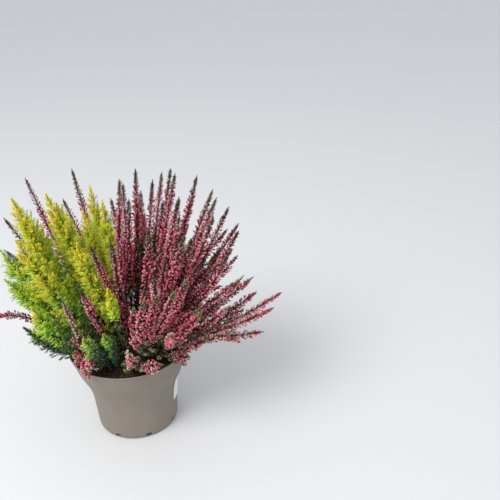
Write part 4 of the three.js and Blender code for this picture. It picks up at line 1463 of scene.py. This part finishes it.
class CompostSettings(bpy.types.PropertyGroup):
    """The compost."""

    relief: amount("Relief", "How rough the top is", 1.0)
    crumbs: how_many("Crumbs", "Loose lumps and fibres on top", 650)
    dark: colour("Dark", "Moist peat", (0.019, 0.0135, 0.0105))
    brown: colour("Brown", "Drier crumbs", (0.066, 0.045, 0.030))
    fibre: colour("Fibre", "Loose fibres", (0.16, 0.105, 0.06))


class LabelSettings(bpy.types.PropertyGroup):
    """The label."""

    paper: colour("Paper", "Label stock", (0.86, 0.87, 0.86))
    grain: colour("Grain", "Faint grain in the stock", (0.74, 0.75, 0.74))
    band: colour("Band", "A plain band", (0.42, 0.55, 0.38))


class StageSettings(bpy.types.PropertyGroup):
    """The floor and the light."""

    floor: colour("Floor", "Pale floor", (0.775, 0.785, 0.80))
    cloud: colour("Floor cloud", "Faint cloud in the floor", (0.7, 0.7, 0.72))
    sky: colour("Sky", "Light from all round", (0.945, 0.965, 0.995))
    sky_strength: amount("Sky strength", "Light from all round", 0.75)
    lamp: colour("Lamp", "Large soft lamp", (1.0, 0.98, 0.95))
    lamp_power: amount("Lamp power", "Large soft lamp, in watts", 24.0)
    lens: amount("Focal length", "Camera lens, in millimetres", 47.255, 1)


SETTINGS = {
    "heather_ling": LingSettings,
    "heather_golden": GoldenSettings,
    "heather_pot": PotSettings,
    "heather_compost": CompostSettings,
    "heather_label": LabelSettings,
    "heather_stage": StageSettings,
}


# ---------------------------------------------------------------- operators

def put_piece(name, growth, finishes, node):
    """Makes the object and lets it ride on the body and stand for its node."""
    if node not in frame["nodes"]:
        raise RuntimeError(f"the solid model has no node {node}")
    piece = bpy.data.objects.new(name, growth.mesh(name))
    bpy.context.scene.collection.objects.link(piece)
    for finish in finishes:
        piece.data.materials.append(finish)
    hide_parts(node)
    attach(piece, BODY)


class HEATHER_OT_pot(bpy.types.Operator):
    """Add the grow pot with its drain slots"""

    bl_idname = "heather.pot"
    bl_label = "Grow pot"

    def execute(self, context):
        settings = context.scene.heather_pot
        growth = Growth()
        add_pot(growth, settings.sides)
        put_piece("grow_pot", growth, [pot_finish(settings)], "pot")
        return {"FINISHED"}


class HEATHER_OT_compost(bpy.types.Operator):
    """Add the compost with its crumbs and fibres"""

    bl_idname = "heather.compost"
    bl_label = "Compost"

    def execute(self, context):
        settings = context.scene.heather_compost
        growth = Growth()
        add_compost(growth, settings.relief)
        add_crumbs(growth, settings.crumbs, np.random.default_rng(CRUMB_SEED))
        put_piece("compost", growth, [compost_finish(settings)], "soil")
        return {"FINISHED"}


class HEATHER_OT_label(bpy.types.Operator):
    """Add the blank label on the pot's side"""

    bl_idname = "heather.label"
    bl_label = "Label"

    def execute(self, context):
        growth = Growth()
        add_label(growth)
        put_piece("pot_label", growth, [label_finish(context.scene.heather_label)], "label")
        return {"FINISHED"}


class HEATHER_OT_ling(bpy.types.Operator):
    """Add the ling: every spray with its spires, buds, leaves and twigs"""

    bl_idname = "heather.ling"
    bl_label = "Ling sprays"

    def execute(self, context):
        settings = context.scene.heather_ling
        plan, branches = grown_plants()
        finishes = [bud_finish(settings), ling_leaf_finish(settings),
                    bark_finish("ling_bark", settings.bark_dark, settings.bark)]
        for node in range(len(PINK_SPRAYS)):
            growth = Growth()
            dress_spray(growth, plan, branches, node, settings, np.random.default_rng(LING_SEED + node))
            number = f"{node + 1:02d}"
            put_piece(f"ling_spray_{number}", growth, finishes, f"pink_spray_{number}")
        return {"FINISHED"}


class HEATHER_OT_golden(bpy.types.Operator):
    """Add the golden heather: every plume and the green shoots low in it"""

    bl_idname = "heather.golden"
    bl_label = "Golden plumes"

    def execute(self, context):
        settings = context.scene.heather_golden
        _, branches = grown_plants()
        finishes = [needle_finish(settings), shoot_finish(settings)]
        plumes = branches[-len(GOLDEN_PLUMES) - len(GREEN_SHOOTS):]
        for order, branch in enumerate(plumes):
            random = np.random.default_rng(GOLDEN_SEED + order)
            golden = order < len(GOLDEN_PLUMES)
            sunniness = random.uniform(-0.05, 0.08) if golden else SHADED_SHOOTS
            growth = Growth()
            first = HALF_BARE_FROM if order == HALF_BARE_PLUME else SHOOTS_FROM
            bushy = BUSHY if order in BUSHY_PLUMES else 1.0
            dress_plume(growth, branch, first, settings, random, sunniness, bushy)
            number = f"{order + 1 - (0 if golden else len(GOLDEN_PLUMES)):02d}"
            name, node, slot = (("feathery_plume", "golden_plume", "golden_foliage") if golden
                                else ("shaded_shoot", "green_shoot", "green_foliage"))
            put_piece(f"{name}_{number}", growth, finishes, f"{node}_{number}")
        return {"FINISHED"}


# The camera's place in metres, its tilt up from straight down and its roll in degrees, and the width of its
# sensor in millimetres.
CAMERA_PLACE = (0.137752, -0.609055, 0.520545)
CAMERA_PITCH = 63.058
CAMERA_ROLL = -1.926
SENSOR_WIDTH = 36
# The lamp's place, what it points at and its width, and the radii of the floor's rings, in metres.
LAMP_PLACE = np.array([-0.8, -0.9, 1.5])
LAMP_AIM = np.array([0.0, 0.0, 0.15])
LAMP_WIDTH = 1.1
FLOOR_RINGS = np.array([0.05, 0.4, 1.5, 6, 20])
FLOOR_SIDES = 96


class HEATHER_OT_stage(bpy.types.Operator):
    """Add the pale floor, the soft light and the camera"""

    bl_idname = "heather.stage"
    bl_label = "Stage"

    def execute(self, context):
        settings = context.scene.heather_stage
        add_floor(settings)
        add_light(context.scene, settings)
        camera = bpy.data.objects.new("camera", bpy.data.cameras.new("camera"))
        context.scene.collection.objects.link(camera)
        camera.matrix_world = (Matrix.Translation(CAMERA_PLACE)
                               @ Matrix.Rotation(math.radians(CAMERA_PITCH), 4, "X")
                               @ Matrix.Rotation(math.radians(CAMERA_ROLL), 4, "Z"))
        camera.data.sensor_width = SENSOR_WIDTH
        camera.data.lens = settings.lens
        camera.data.clip_start, camera.data.clip_end = 0.01, 60
        context.scene.camera = camera
        return {"FINISHED"}


def add_floor(settings):
    """A wide disc: rings of growing radius round the pot, closed at its middle by triangles."""
    growth = Growth()
    radii = FLOOR_RINGS / MM
    rings = turned(np.stack([radii, 0 * radii], 1)[::-1], round_angles(FLOOR_SIDES)).reshape(-1, 3)
    pole = len(rings)
    faces = [ring_faces(len(radii), FLOOR_SIDES), fan(pole - FLOOR_SIDES, pole, FLOOR_SIDES)]
    growth.add(np.concatenate([rings, [[0, 0, 0]]])[None], faces, 0)
    floor = bpy.data.objects.new("floor", growth.mesh("floor"))
    bpy.context.scene.collection.objects.link(floor)
    s = Surface("floor", Specular_IOR_Level=0.3)
    soft = s.noise(3.0, 2.0)
    tone = s.mix(soft * 0.06, settings.floor, settings.cloud)
    floor.data.materials.append(s.finish(Base_Color=tone, Roughness=0.55 + 0.1 * soft))


def add_light(scene, settings):
    """An even sky, and a large soft lamp high on the left that shines towards its aim."""
    world = bpy.data.worlds.new("sky")
    world.use_nodes = True
    sky = next(node for node in world.node_tree.nodes if node.type == "BACKGROUND")
    sky.inputs["Color"].default_value = shade(settings.sky)
    sky.inputs["Strength"].default_value = settings.sky_strength
    scene.world = world
    light = bpy.data.lights.new("lamp", "AREA")
    light.shape, light.size, light.energy = "DISK", LAMP_WIDTH, settings.lamp_power
    light.color = settings.lamp
    lamp = bpy.data.objects.new("lamp", light)
    scene.collection.objects.link(lamp)
    towards = unit(LAMP_AIM - LAMP_PLACE)
    side = unit(np.cross(towards, UP))
    axes = np.stack([side, np.cross(side, towards), -towards, LAMP_PLACE], 1)
    lamp.matrix_world = Matrix([*axes.tolist(), [0, 0, 0, 1]])


OPERATORS = (HEATHER_OT_stage, HEATHER_OT_pot, HEATHER_OT_compost, HEATHER_OT_label, HEATHER_OT_ling,
             HEATHER_OT_golden)


class HEATHER_PT_panel(bpy.types.Panel):
    """The heather's pieces in the sidebar"""

    bl_label = "Potted heather"
    bl_idname = "HEATHER_PT_panel"
    bl_space_type = "VIEW_3D"
    bl_region_type = "UI"
    bl_category = "Heather"

    def draw(self, context):
        """Lists a button for each operator."""
        for operator in OPERATORS:
            self.layout.operator(operator.bl_idname)


CLASSES = (*SETTINGS.values(), *OPERATORS, HEATHER_PT_panel)


def register():
    """Makes the classes and the settings known."""
    for cls in CLASSES:
        bpy.utils.register_class(cls)
    for name, group in SETTINGS.items():
        setattr(bpy.types.Scene, name, PointerProperty(type=group))


def unregister():
    """Takes the settings and the classes away again."""
    for name in SETTINGS:
        delattr(bpy.types.Scene, name)
    for cls in reversed(CLASSES):
        bpy.utils.unregister_class(cls)


def main():
    """Builds the stage and every piece."""
    register()
    bpy.context.scene.view_settings.view_transform = "Standard"
    bpy.ops.heather.stage()
    bpy.ops.heather.pot()
    bpy.ops.heather.compost()
    bpy.ops.heather.label()
    bpy.ops.heather.ling()
    bpy.ops.heather.golden()
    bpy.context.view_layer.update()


if __name__ == "__main__":
    main()
